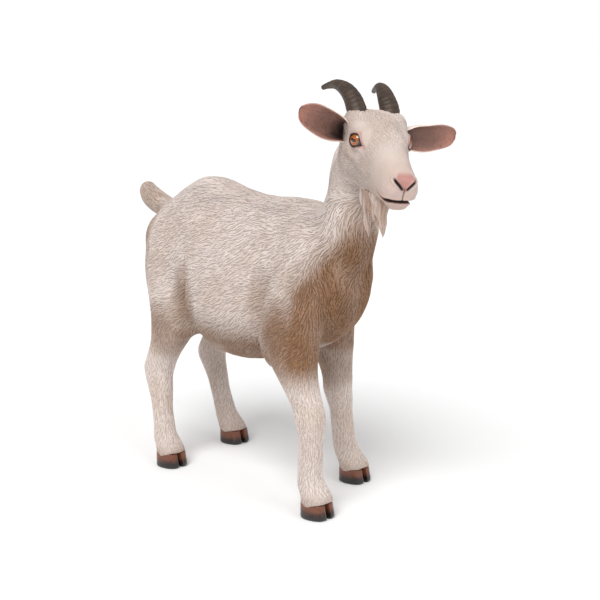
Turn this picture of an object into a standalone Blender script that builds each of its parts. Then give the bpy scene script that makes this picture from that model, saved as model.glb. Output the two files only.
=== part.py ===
"""Life-size statue of a standing young goat, cast in resin, parted where a person would name it.

The goat faces -Y with its right side towards -X, and stands on Z = 0. The flesh is modelled whole:
lofts and ellipsoids are fused by a voxel remesh, smoothed and thinned, and then parted by thin flat
cuts into head, neck, trunk, tail and four legs. Ears, eyes, horns, beard, teeth and the claws of the
cloven hooves are solids of their own, set against the flesh with a hair's gap. The head is modelled
level in a frame of its own, which HEAD_PLACE turns, tips and leans into its pose.
"""
import math

import bmesh
import bpy
import numpy as np
from mathutils import Matrix, Vector

GAP = 0.0003            # between pieces that touch
VOXEL = 0.0042          # grain of the fused flesh
SMOOTHING_ROUNDS = 7
SMOOTHING_LOSS = 0.001  # what the smoothing takes off a thin limb
RING_POINTS = 32
LOFT_STEPS = 5          # sections between two stations

HEAD_AT = Vector((-0.0415, -0.3500, 0.7110))  # midway between the eyes
HEAD_TURN = 27.5        # degrees towards the goat's right
HEAD_DIP = 18.5         # degrees, muzzle down
HEAD_LEAN = 4.8         # degrees, left ear down

# trunk: y, top z, bottom z, z of the widest level, half width
TRUNK = [
    (-0.268, 0.500, 0.415, 0.455, 0.034), (-0.248, 0.535, 0.368, 0.445, 0.055),
    (-0.215, 0.562, 0.330, 0.430, 0.072), (-0.160, 0.587, 0.298, 0.415, 0.088),
    (-0.095, 0.592, 0.274, 0.400, 0.101), (-0.035, 0.588, 0.256, 0.390, 0.113),
    (0.025, 0.591, 0.247, 0.385, 0.122), (0.080, 0.600, 0.253, 0.390, 0.123),
    (0.125, 0.612, 0.278, 0.405, 0.116), (0.160, 0.614, 0.303, 0.430, 0.107),
    (0.200, 0.598, 0.325, 0.445, 0.101), (0.240, 0.573, 0.350, 0.450, 0.095),
    (0.276, 0.550, 0.375, 0.455, 0.082), (0.302, 0.527, 0.405, 0.465, 0.060),
    (0.316, 0.505, 0.435, 0.470, 0.034),
]
# neck: y, z, degrees its sections tip, half width, reach to the nape, reach to the throat
NECK = [
    (-0.140, 0.430, 50, 0.080, 0.120, 0.122), (-0.190, 0.500, 62, 0.066, 0.090, 0.090),
    (-0.226, 0.556, 78, 0.053, 0.058, 0.073), (-0.240, 0.605, 86, 0.045, 0.045, 0.061),
    (-0.247, 0.650, 84, 0.043, 0.045, 0.055), (-0.261, 0.686, 74, 0.040, 0.046, 0.052),
    (-0.272, 0.704, 66, 0.030, 0.032, 0.038),
]
# head, level, from the poll to the nose: y, top, bottom, widest level, half width
HEAD = [
    (0.104, 0.004, -0.058, -0.022, 0.030), (0.086, 0.026, -0.076, -0.020, 0.044),
    (0.058, 0.043, -0.090, -0.018, 0.054), (0.028, 0.048, -0.096, -0.010, 0.055),
    (0.000, 0.043, -0.095, -0.004, 0.0505), (-0.030, 0.033, -0.089, -0.012, 0.0435),
    (-0.060, 0.021, -0.081, -0.020, 0.037), (-0.090, 0.011, -0.076, -0.026, 0.033),
    (-0.115, 0.004, -0.072, -0.030, 0.032), (-0.130, -0.004, -0.064, -0.032, 0.028),
    (-0.138, -0.014, -0.050, -0.032, 0.018),
]
# pairs of ellipsoids on the level head: name, centre, radii
HEAD_SWELLINGS = {
    "brow": ((0.036, 0.004, 0.012), (0.018, 0.026, 0.018)),
    "cheek": ((0.034, 0.040, -0.048), (0.023, 0.040, 0.040)),
    "horn_seat": ((0.029, 0.058, 0.024), (0.022, 0.030, 0.022)),
    "temple": ((0.037, 0.042, 0.019), (0.024, 0.036, 0.026)),
    "upper_lip": ((0.015, -0.114, -0.034), (0.019, 0.027, 0.024)),
    "nostril_wing": ((0.013, -0.128, -0.015), (0.013, 0.011, 0.011)),
    "chin": ((0.006, -0.115, -0.062), (0.016, 0.020, 0.012)),
}
# pairs of ellipsoids on the body: name, centre, radii
BODY_SWELLINGS = {
    "thigh": ((0.063, 0.207, 0.415), (0.046, 0.088, 0.130)),
    "stifle": ((0.082, 0.142, 0.345), (0.028, 0.044, 0.062)),
    "shoulder": ((0.060, -0.160, 0.440), (0.040, 0.062, 0.115)),
    "elbow": ((0.083, -0.125, 0.325), (0.026, 0.042, 0.062)),
    "hip_bone": ((0.040, 0.140, 0.560), (0.036, 0.050, 0.036)),
    "seat_bone": ((0.048, 0.268, 0.470), (0.036, 0.040, 0.060)),
}
# legs from the pastern up: z, y, x outwards, half width, half depth
FORELEG = [
    (0.010, -0.247, 0.0915, 0.0345, 0.0295), (0.034, -0.245, 0.0915, 0.0325, 0.0300),
    (0.052, -0.236, 0.0915, 0.0290, 0.0300), (0.070, -0.227, 0.0915, 0.0235, 0.0275),
    (0.090, -0.226, 0.0915, 0.0220, 0.0255), (0.145, -0.229, 0.0915, 0.0225, 0.0250),
    (0.180, -0.228, 0.0920, 0.0275, 0.0305), (0.210, -0.221, 0.0925, 0.0285, 0.0325),
    (0.240, -0.206, 0.0930, 0.0315, 0.0360), (0.280, -0.186, 0.0920, 0.0380, 0.0470),
    (0.330, -0.170, 0.0840, 0.0420, 0.0600), (0.400, -0.163, 0.0690, 0.0400, 0.0680),
    (0.470, -0.155, 0.0560, 0.0300, 0.0560),
]
HINDLEG = [
    (0.010, 0.188, 0.0945, 0.0330, 0.0285), (0.034, 0.193, 0.0945, 0.0315, 0.0290),
    (0.052, 0.203, 0.0940, 0.0275, 0.0285), (0.070, 0.212, 0.0935, 0.0225, 0.0260),
    (0.115, 0.220, 0.0925, 0.0205, 0.0240), (0.150, 0.226, 0.0915, 0.0220, 0.0285),
    (0.180, 0.233, 0.0905, 0.0240, 0.0355), (0.205, 0.234, 0.0895, 0.0255, 0.0405),
    (0.240, 0.216, 0.0890, 0.0290, 0.0410), (0.280, 0.192, 0.0880, 0.0360, 0.0490),
    (0.330, 0.187, 0.0820, 0.0420, 0.0620), (0.400, 0.203, 0.0700, 0.0400, 0.0740),
    (0.470, 0.215, 0.0550, 0.0300, 0.0600),
]
# how each leg stands off its table: shift outwards and back at the ground, then at the joint
STANCE = {
    "foreleg_right": ((0.000, 0.000), (0.000, 0.000)), "foreleg_left": ((0.012, 0.084), (0.004, 0.109)),
    "hindleg_right": ((0.012, -0.012), (0.006, -0.006)), "hindleg_left": ((0.000, 0.013), (0.000, 0.038)),
}
FOOT_HEIGHT = 0.030
JOINT_HEIGHT = 0.190    # knee and hock
LEVEL_AGAIN = {"foreleg": 0.560, "hindleg": 0.420}  # where both legs of a pair stand side by side
# blocks that hold a leg: y of front and rear, height, and from the middle plane outwards
LEG_BLOCK = {"foreleg": (-0.285, -0.108, 0.322), "hindleg": (0.102, 0.330, 0.330)}
LEG_BLOCK_INNER = 0.034
LEG_BLOCK_OUTER = 0.170

# tail: y, z, degrees its sections tip, half width, reach up, reach down
TAIL = [
    (0.262, 0.520, -10, 0.026, 0.026, 0.030), (0.303, 0.532, -20, 0.026, 0.023, 0.026),
    (0.337, 0.544, -38, 0.026, 0.023, 0.028), (0.361, 0.558, -58, 0.024, 0.021, 0.030),
    (0.374, 0.574, -76, 0.018, 0.015, 0.019), (0.376, 0.587, -84, 0.008, 0.008, 0.009),
]

EYE_AT = Vector((0.0380, -0.0010, 0.0020))    # in the level head
EYE_RADIUS = 0.0162
EYE_SEGMENTS = 12
# horns: in the level head, from inside the skull to the tip, x outwards
HORN = [
    (0.029, 0.046, 0.024, 0.0180), (0.0324, 0.066, 0.0384, 0.0178), (0.0335, 0.089, 0.048, 0.0163),
    (0.0370, 0.119, 0.053, 0.0135), (0.0423, 0.153, 0.0495, 0.0095), (0.0474, 0.181, 0.037, 0.0062),
    (0.0515, 0.199, 0.0255, 0.0045),
]
EAR_ROOT = Vector((0.045, 0.060, -0.002))
EAR_WAYS = {"right": Vector((-0.90, -0.26, 0.400)), "left": Vector((0.95, -0.21, 0.105))}
EAR_OPENS = Vector((0.0, -0.98, -0.12))
EAR_LENGTH = 0.115
# ear across its length: share of the length, half width of its chord, degrees it wraps to each side
EAR = [
    (0.00, 0.014, 125), (0.16, 0.0175, 108), (0.34, 0.0250, 82), (0.56, 0.0275, 62),
    (0.78, 0.0250, 50), (0.93, 0.0180, 42), (1.00, 0.0080, 36),
]
EAR_THICKNESS = 0.0044
EAR_POINTS = 7          # across the shell
# beard locks: root in the level head, length, half width, half depth
BEARD = [
    ((-0.006, 0.000, -0.084), 0.088, 0.0120, 0.0125), ((0.005, -0.020, -0.082), 0.070, 0.0110, 0.0120),
    ((-0.010, -0.036, -0.080), 0.048, 0.0110, 0.0120), ((-0.003, -0.060, -0.074), 0.070, 0.0100, 0.0110),
    ((-0.005, -0.048, -0.078), 0.047, 0.0100, 0.0110), ((0.004, 0.020, -0.084), 0.055, 0.0110, 0.0120),
]
BEARD_FORWARD = 0.006   # how far the tips swing towards the muzzle

MOUTH_CORNER = Vector((0.030, -0.084, -0.050))
MOUTH_SAG = 0.005
MOUTH_GAPE = 0.0042     # at the front of the lips
MOUTH_LENGTH = 0.062    # from the corners past the front
MOUTH_HALF_WIDTH = 0.045    # past the cheeks
MOUTH_CORE = Vector((0.0215, 0.035, 0.030))     # radii of the jaw the slit leaves uncut
TEETH_OFF = (0.0008, 0.0028)    # inner and outer face, ahead of that core
TEETH_SPREAD = 36.0     # degrees to each side
TEETH_RISE = (-0.70, 0.45)  # lower and upper edge, as shares of half the gape
NOSTRIL_AT = Vector((0.0150, -0.1365, -0.0165))
NOSTRIL_RADII = Vector((0.0078, 0.0060, 0.0030))

HOOF_HEIGHT = 0.0245    # of the hair line over the middle of the foot
HOOF_SLOPE = 13.0       # degrees the hair line falls towards the heel
CLAW_LENGTH = 0.058
CLAW_WIDTH = 0.0350
CLEFT = 0.0055          # half the gap between the tips of the two toes
CLAW_BLUNTNESS = 0.72
CLAW_POINTS = 8        # along its outer wall
# claw up its height: z, share of its length, share of its width, shift back
CLAW = [
    (0.000, 0.920, 0.92, 0.001), (0.004, 1.000, 1.00, 0.000), (0.016, 0.965, 0.99, 0.001),
    (0.036, 0.880, 0.96, 0.003),
]

COAT = (0.58, 0.50, 0.46)
TAN = (0.36, 0.22, 0.13)
HORN_BROWN = (0.07, 0.045, 0.03)
HOOF_BLACK = (0.02, 0.012, 0.01)
EYE_ORANGE = (0.55, 0.13, 0.01)
TOOTH = (0.75, 0.70, 0.62)
SOFT_ROUNDS = 26
SOFT_FROM = (0.235, 0.330)      # heights between which the longer smoothing sets in
SOFT_UP_TO = (0.640, 0.580)     # and fades out
POLL_AT = Vector((0.0, 0.075, -0.028))  # where skull and neck melt together, in the level head
POLL_REACH = (0.108, 0.078)     # distances from it
THROAT_CUT = ((0.0, -0.262, 0.672), (-0.10, -0.55, 0.83))
NECK_CUT = ((0.0, -0.178, 0.520), (0.0, -0.80, 0.60))
TAIL_CUT = ((0.0, 0.318, 0.540), (0.0, 0.96, 0.28))
TRIANGLES = {"head": 1300, "rest": 3000, "beard": 180}


def clear_scene():
    """Remove every object, so that the model stands alone."""
    for thing in list(bpy.data.objects):
        bpy.data.objects.remove(thing, do_unlink=True)


def collection(name):
    """A new collection in the scene."""
    made = bpy.data.collections.new(name)
    bpy.context.scene.collection.children.link(made)
    return made


def material(name, colour, roughness):
    """A plain painted finish."""
    made = bpy.data.materials.new(name)
    made.use_nodes = True
    shader = made.node_tree.nodes["Principled BSDF"]
    shader.inputs["Base Color"].default_value = (*colour, 1.0)
    shader.inputs["Roughness"].default_value = roughness
    shader.inputs["Metallic"].default_value = 0.0
    made.diffuse_color = (*colour, 1.0)
    return made


def add_object(name, mesh, where):
    """Put a mesh into the scene as a named object."""
    made = bpy.data.objects.new(name, mesh)
    where.objects.link(made)
    return made


def between(stations, steps=LOFT_STEPS):
    """Stations and the sections between them, on a smooth curve through every column."""
    table = np.array(stations, dtype=float)
    slope = np.gradient(table, axis=0)
    rows = []
    for low in range(len(table) - 1):
        for t in np.arange(steps) / steps:
            rise = t * t * (3.0 - 2.0 * t)
            lead = t * (1.0 - t) ** 2
            trail = t * t * (t - 1.0)
            rows.append((1.0 - rise) * table[low] + rise * table[low + 1]
                        + lead * slope[low] + trail * slope[low + 1])
    rows.append(table[-1])
    return np.array(rows)


def section(centre, tip, half_width, reach_up, reach_down, roundness=0.94):
    """One ring: an oval across X whose upright axis is tipped from +Z towards +Y."""
    angle = np.linspace(0.0, 2.0 * math.pi, RING_POINTS, endpoint=False)
    across = half_width * np.sign(np.cos(angle)) * np.abs(np.cos(angle)) ** roundness
    reach = np.where(np.sin(angle) > 0.0, reach_up, reach_down)
    along = reach * np.sign(np.sin(angle)) * np.abs(np.sin(angle)) ** roundness
    upright = np.array([0.0, math.sin(math.radians(tip)), math.cos(math.radians(tip))])
    return np.array(centre) + across[:, None] * np.array([1.0, 0.0, 0.0]) + along[:, None] * upright


def loft(name, rings, where):
    """A closed skin over unlike rings of one point count, with a middle point at each end."""
    count = len(rings[0])
    points = np.concatenate([*rings, [rings[0].mean(axis=0)], [rings[-1].mean(axis=0)]])
    last = len(rings) * count
    faces = []
    for ring in range(len(rings) - 1):
        for step in range(count):
            here = ring * count + step
            beside = ring * count + (step + 1) % count
            faces.append((here, beside, beside + count, here + count))
    for step in range(count):
        beside = (step + 1) % count
        faces.append((last, beside, step))
        faces.append((last + 1, last - count + step, last - count + beside))
    mesh = bpy.data.meshes.new(name)
    mesh.from_pydata(points.tolist(), [], faces)
    face_outwards(mesh)
    return add_object(name, mesh, where)


def face_outwards(mesh):
    """Turn the faces of a closed mesh outwards."""
    work = bmesh.new()
    work.from_mesh(mesh)
    bmesh.ops.recalc_face_normals(work, faces=work.faces)
    work.to_mesh(mesh)
    work.free()


def ellipsoid(name, centre, radii, where, segments=24):
    """A ball drawn out to three radii."""
    mesh = bpy.data.meshes.new(name)
    work = bmesh.new()
    bmesh.ops.create_uvsphere(work, u_segments=segments, v_segments=segments // 2, radius=1.0)
    bmesh.ops.transform(work, verts=work.verts,
                        matrix=Matrix.Translation(centre) @ Matrix.Diagonal((*radii, 1.0)))
    work.to_mesh(mesh)
    work.free()
    return add_object(name, mesh, where)


def box(name, low, high, where, turn=None):
    """A block between two corners, turned about its own middle if asked."""
    mesh = bpy.data.meshes.new(name)
    work = bmesh.new()
    bmesh.ops.create_cube(work, size=1.0)
    low = Vector(low)
    high = Vector(high)
    place = Matrix.Translation((low + high) / 2.0)
    if turn is not None:
        place = place @ turn
    bmesh.ops.transform(work, verts=work.verts,
                        matrix=place @ Matrix.Diagonal((*(high - low), 1.0)))
    work.to_mesh(mesh)
    work.free()
    return add_object(name, mesh, where)


def settle(thing):
    """Replace an object's mesh by what its modifiers make of it."""
    graph = bpy.context.evaluated_depsgraph_get()
    mesh = bpy.data.meshes.new_from_object(thing.evaluated_get(graph))
    thing.modifiers.clear()
    thing.data = mesh
    return thing


def join(name, things, where):
    """Gather several closed meshes in one object."""
    work = bmesh.new()
    for thing in things:
        work.from_mesh(thing.data)
        bpy.data.objects.remove(thing, do_unlink=True)
    mesh = bpy.data.meshes.new(name)
    work.to_mesh(mesh)
    work.free()
    return add_object(name, mesh, where)


def fuse(thing, grain, rounds):
    """Melt the shapes of one object into a single smooth skin."""
    remesh = thing.modifiers.new("fuse", "REMESH")
    remesh.mode = "VOXEL"
    remesh.voxel_size = grain
    smooth = thing.modifiers.new("smooth", "SMOOTH")
    smooth.factor = 0.5
    smooth.iterations = rounds
    return settle(thing)


def thin(thing, triangles):
    """Bring an object down to about this many triangles."""
    split = thing.modifiers.new("split", "TRIANGULATE")
    split.quad_method = "BEAUTY"
    settle(thing)
    fewer = thing.modifiers.new("thin", "DECIMATE")
    fewer.ratio = min(1.0, triangles / len(thing.data.polygons))
    return settle(thing)


def cut(thing, tool, operation):
    """Cut an object with another one and keep the result."""
    step = thing.modifiers.new("cut", "BOOLEAN")
    step.operation = operation
    step.solver = "EXACT"
    step.object = tool
    return settle(thing)


def copy_of(thing, name, where):
    """A second object with its own mesh."""
    return add_object(name, thing.data.copy(), where)


def slice_off(thing, point, normal):
    """Keep what lies behind a plane and close the cut with a flat face."""
    work = bmesh.new()
    work.from_mesh(thing.data)
    everything = [*work.verts, *work.edges, *work.faces]
    made = bmesh.ops.bisect_plane(work, geom=everything, dist=1e-7, plane_co=point,
                                  plane_no=normal, clear_outer=True)
    rim = [part for part in made["geom_cut"] if isinstance(part, bmesh.types.BMEdge)]
    bmesh.ops.triangle_fill(work, edges=rim, use_beauty=True, use_dissolve=False)
    bmesh.ops.recalc_face_normals(work, faces=work.faces)
    work.to_mesh(thing.data)
    work.free()


def part_by_plane(thing, name, point, normal, where):
    """Split an object at a plane: returns the piece ahead of it; the object keeps the rest."""
    ahead = copy_of(thing, name, where)
    point = Vector(point)
    normal = Vector(normal).normalized()
    slice_off(thing, point - normal * GAP / 2.0, normal)
    slice_off(ahead, point + normal * GAP / 2.0, -normal)
    return ahead


def grown(thing, name, distance, where):
    """A copy whose skin stands a little further out."""
    swollen = copy_of(thing, name, where)
    push = swollen.modifiers.new("grow", "DISPLACE")
    push.strength = distance
    push.mid_level = 0.0
    return settle(swollen)


def head_place():
    """From the level head to its pose."""
    turn = Matrix.Rotation(math.radians(-HEAD_TURN), 4, "Z")
    dip = Matrix.Rotation(math.radians(HEAD_DIP), 4, "X")
    lean = Matrix.Rotation(math.radians(HEAD_LEAN), 4, "Y")
    return Matrix.Translation(HEAD_AT) @ turn @ dip @ lean


def trunk_shape(where):
    """Barrel, chest and rump as one loft along Y."""
    rows = between(TRUNK)
    rings = [section((0.0, y, wide), 0.0, half, top - wide, wide - bottom)
             for y, top, bottom, wide, half in rows]
    return loft("trunk_shape", rings, where)


def tipped_shape(name, stations, where):
    """A neck or tail: a loft whose sections tip as it bends."""
    rows = between(stations)
    rings = [section((0.0, y, z), tip, half, up, down) for y, z, tip, half, up, down in rows]
    return loft(name, rings, where)


def stance(name, z):
    """How far out and back a leg stands off its table at a height; nothing at the trunk."""
    heights = (FOOT_HEIGHT, JOINT_HEIGHT, LEVEL_AGAIN[name.split("_")[0]])
    ground, joint = STANCE[name]
    return [float(np.interp(z, heights, (ground[way], joint[way], 0.0))) for way in (0, 1)]


def leg_shape(name, stations, side, where):
    """A leg as a loft of level ovals, from inside the hooves to inside the trunk."""
    rings = []
    for z, y, out, half_width, half_depth in between(stations):
        off, back = stance(name, z)
        depth = half_depth + SMOOTHING_LOSS
        rings.append(section((side * (out + off), y + back, z), 90.0,
                             half_width + SMOOTHING_LOSS, depth, depth))
    return loft(name, rings, where)


def leg_boxes(where, grow):
    """The four blocks that hold the legs; grown by the gap they cut the trunk."""
    boxes = {}
    for name in STANCE:
        pair, word = name.split("_")
        front, rear, top = LEG_BLOCK[pair]
        back = stance(name, top)[1]
        side = -1.0 if word == "right" else 1.0
        low_x, high_x = sorted((side * (LEG_BLOCK_INNER - grow), side * LEG_BLOCK_OUTER))
        boxes[name] = box("block_" + name, (low_x, front + back - grow, -HOOF_HEIGHT),
                          (high_x, rear + back + grow, top + grow), where)
    return boxes


def fade(values, start, end):
    """0 before start, 1 past end, and a straight slope between."""
    return np.clip((values - start) / (end - start), 0.0, 1.0)


def soften(flesh, weights):
    """A longer smoothing where the weights allow it."""
    group = flesh.vertex_groups.new(name="soft")
    for index, weight in enumerate(weights.tolist()):
        if weight > 0.0:
            group.add([index], weight, "REPLACE")
    smooth = flesh.modifiers.new("soften", "SMOOTH")
    smooth.factor = 0.5
    smooth.iterations = SOFT_ROUNDS
    smooth.vertex_group = group.name
    settle(flesh)
    flesh.vertex_groups.clear()
    return flesh


def corners(thing):
    """The points of a mesh as an array."""
    return np.array([point.co for point in thing.data.vertices])


def dewclaws(foot, side, where):
    """The two small claws behind a fetlock, as bumps of the leg."""
    x, y, z = foot
    return [ellipsoid("dewclaw", (x + side * out, y, z), (0.0065, 0.0080, 0.0085), where, 12)
            for out in (-0.0115, 0.0115)]


def head_shapes(where):
    """Skull, cheeks, brows, muzzle and chin in the level head, moved to the pose."""
    rings = [section((0.0, y, wide), 0.0, half, top - wide, wide - bottom)
             for y, top, bottom, wide, half in between(HEAD)]
    shapes = [loft("head_shape", rings, where)]
    for name, (centre, radii) in HEAD_SWELLINGS.items():
        for side in (-1.0, 1.0):
            shapes.append(ellipsoid(name, (side * centre[0], *centre[1:]), radii, where))
    for shape in shapes:
        shape.data.transform(head_place())
    return shapes


def legs():
    """Each leg: its name, side, station table, and the x and y its claws stand on."""
    for name, (ground, _) in STANCE.items():
        side = -1.0 if name.endswith("right") else 1.0
        stations = FORELEG if name.startswith("fore") else HINDLEG
        _, y, out, _, _ = stations[0]
        yield name, side, stations, side * (out + ground[0]), y + ground[1]


def body_shapes(where):
    """Everything of flesh but the head."""
    shapes = [trunk_shape(where), tipped_shape("neck_shape", NECK, where)]
    for name, (centre, radii) in BODY_SWELLINGS.items():
        for side in (-1.0, 1.0):
            leg = ("foreleg_" if centre[1] < 0.0 else "hindleg_") + ("right" if side < 0.0 else "left")
            off, back = stance(leg, centre[2])
            place = (side * (centre[0] + off), centre[1] + back, centre[2])
            shapes.append(ellipsoid(name, place, radii, where))
    for name, side, stations, x, y in legs():
        shapes.append(leg_shape(name, stations, side, where))
        z, heel, _, _, half_depth = stations[2]
        heel += half_depth + y - stations[0][1]
        shapes += dewclaws((x, heel, z), side, where)
    return shapes


def claw(name, middle, side, where):
    """One claw: level sections with a rounded outer wall and a flat wall along the cleft."""
    turn = np.linspace(0.0, math.pi, CLAW_POINTS)
    outer_along = -np.cos(turn)
    inner_along = outer_along[-2:0:-1]
    rings = []
    for z, length, width, shift in CLAW:
        gap_out = CLEFT * ((1.0 - outer_along) / 2.0) ** 3 + GAP
        gap_in = CLEFT * ((1.0 - inner_along) / 2.0) ** 3 + GAP
        wall = width * CLAW_WIDTH * np.sin(turn) ** CLAW_BLUNTNESS * (0.84 + 0.16 * outer_along)
        across = np.concatenate([gap_out + wall, gap_in])
        along = np.concatenate([outer_along, inner_along]) * length * CLAW_LENGTH / 2.0 + shift
        rings.append(np.stack([middle[0] + side * across, middle[1] + along,
                               np.full(len(across), z)], axis=1))
    return loft(name, rings, where)


def hair_line(x, y):
    """The plane between a leg and its claws: a point on it and the way down."""
    slope = math.radians(HOOF_SLOPE)
    return Vector((x, y, HOOF_HEIGHT)), Vector((0.0, -math.sin(slope), -math.cos(slope)))


def add_claws(leg, word, side, foot, where):
    """Cut a leg at its hair line and set two claws under it."""
    point, down = hair_line(*foot)
    slice_off(leg, point - down * GAP, down)
    made = []
    for place, way in (("outer", side), ("inner", -side)):
        piece = claw("claw_" + word + "_" + place, foot, way, where)
        slice_off(piece, point, -down)
        made.append(piece)
    return made


def horn(name, side, where):
    """A tapering round horn along its path, closed by a blunt tip."""
    rows = between(HORN, 2)
    path = rows[:, :3] * np.array([side, 1.0, 1.0])
    way = np.gradient(path, axis=0)
    way /= np.linalg.norm(way, axis=1)[:, None]
    rings = []
    for centre, ahead, radius in zip(path, way, rows[:, 3]):
        rings.append(round_ring(centre, ahead, radius))
    rings.append(round_ring(path[-1] + way[-1] * 0.003, way[-1], rows[-1, 3] * 0.7))
    return loft(name, rings, where)


def round_ring(centre, ahead, radius, points=11):
    """A circle of points across a direction."""
    side = np.cross(ahead, [1.0, 0.0, 0.0])
    side /= np.linalg.norm(side)
    other = np.cross(ahead, side)
    angle = np.linspace(0.0, 2.0 * math.pi, points, endpoint=False)
    return centre + radius * (np.cos(angle)[:, None] * side + np.sin(angle)[:, None] * other)


def ear(name, word, where):
    """A leaf-shaped shell, rolled at the root and open towards the front."""
    side = -1.0 if word == "right" else 1.0
    ahead = EAR_WAYS[word].normalized()
    opens = (EAR_OPENS - ahead * EAR_OPENS.dot(ahead)).normalized()
    wide = ahead.cross(opens)
    root = Vector((side * EAR_ROOT.x, EAR_ROOT.y, EAR_ROOT.z))
    span = np.linspace(-1.0, 1.0, EAR_POINTS)
    points = []
    rows = between(EAR, 2)
    for share, half, wrap in rows:
        wrap = math.radians(wrap)
        radius = half / math.sin(min(wrap, math.pi / 2.0))
        for t in span * wrap:
            points.append(root + ahead * (share * EAR_LENGTH) + wide * (radius * math.sin(t))
                          + opens * (radius * (1.0 - math.cos(t))))
    faces = []
    for row in range(len(rows) - 1):
        for step in range(EAR_POINTS - 1):
            here = row * EAR_POINTS + step
            faces.append((here, here + 1, here + EAR_POINTS + 1, here + EAR_POINTS))
    mesh = bpy.data.meshes.new(name)
    mesh.from_pydata([tuple(point) for point in points], [], faces)
    made = add_object(name, mesh, where)
    thick = made.modifiers.new("thickness", "SOLIDIFY")
    thick.thickness = EAR_THICKNESS
    thick.offset = 0.0
    settle(made)
    face_outwards(made.data)
    return made


def beard(where, tools):
    """Tapering locks that hang from the jaw, melted together at their roots."""
    locks = []
    for root, length, half_width, half_depth in BEARD:
        start = head_place() @ Vector(root)
        rings = []
        for share in np.linspace(0.0, 1.0, 8):
            size = (1.0 - share) ** 0.7 * 0.85 + 0.15
            swing = BEARD_FORWARD * share * share
            centre = (start.x - swing * 0.5, start.y - swing, start.z - length * share)
            rings.append(section(centre, 90.0, half_width * size, half_depth * size,
                                 half_depth * size, 1.0))
        locks.append(loft("lock", rings, tools))
    made = join("beard", locks, where)
    return fuse(made, 0.0026, 2)


def lip_line(ahead):
    """Height between the lips and half their gape, so far ahead of the corners."""
    share = ahead / MOUTH_LENGTH
    return (MOUTH_CORNER.z - MOUTH_SAG * math.sin(math.pi * min(1.0, share * 1.3)),
            MOUTH_GAPE / 2.0 * (0.25 + 0.75 * share))


def mouth_tool(tools):
    """The slit between the lips: a thin sheet that sags behind the front, with its core left."""
    rings = []
    for ahead in np.linspace(0.0, MOUTH_LENGTH, 9):
        y = MOUTH_CORNER.y - ahead
        z, half = lip_line(ahead)
        rings.append(np.array([(side * MOUTH_HALF_WIDTH, y, z + way * half)
                               for side, way in ((-1, -1), (1, -1), (1, 1), (-1, 1))]))
    sheet = loft("mouth", rings, tools)
    core = ellipsoid("mouth_core", (0.0, MOUTH_CORNER.y, MOUTH_CORNER.z), MOUTH_CORE, tools, 20)
    cut(sheet, core, "DIFFERENCE")
    bpy.data.objects.remove(core, do_unlink=True)
    return sheet


def teeth(where):
    """The front edge of the lower teeth, a low arc just inside the lips."""
    spread = math.radians(TEETH_SPREAD)
    rings = []
    for turn in np.linspace(-spread, spread, 9):
        corners_of_ring = []
        for face, rise in ((0, 0), (1, 0), (1, 1), (0, 1)):
            x = (MOUTH_CORE.x + TEETH_OFF[face]) * math.sin(turn)
            ahead = (MOUTH_CORE.y + TEETH_OFF[face]) * math.cos(turn)
            z, half = lip_line(ahead)
            corners_of_ring.append((x, MOUTH_CORNER.y - ahead, z + half * TEETH_RISE[rise]))
        rings.append(np.array(corners_of_ring))
    made = loft("teeth", rings, where)
    made.data.transform(head_place())
    return made


def nostril_tools(tools):
    """Two slanting hollows, one on each side of the nose."""
    made = []
    for side in (-1.0, 1.0):
        tool = ellipsoid("nostril", (0.0, 0.0, 0.0), NOSTRIL_RADII, tools, 12)
        slant = Matrix.Rotation(math.radians(side * -28.0), 4, "Y")
        swing = Matrix.Rotation(math.radians(side * -30.0), 4, "Z")
        place = Vector((side * NOSTRIL_AT.x, NOSTRIL_AT.y, NOSTRIL_AT.z))
        tool.data.transform(head_place() @ Matrix.Translation(place) @ swing @ slant)
        made.append(tool)
    return made


def shade_round(thing, finish):
    """Smooth shading, with edges kept sharp where pieces were parted."""
    thing.data.materials.clear()
    thing.data.materials.append(finish)
    thing.data.shade_smooth()
    thing.data.set_sharp_from_angle(angle=math.radians(40.0))


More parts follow.
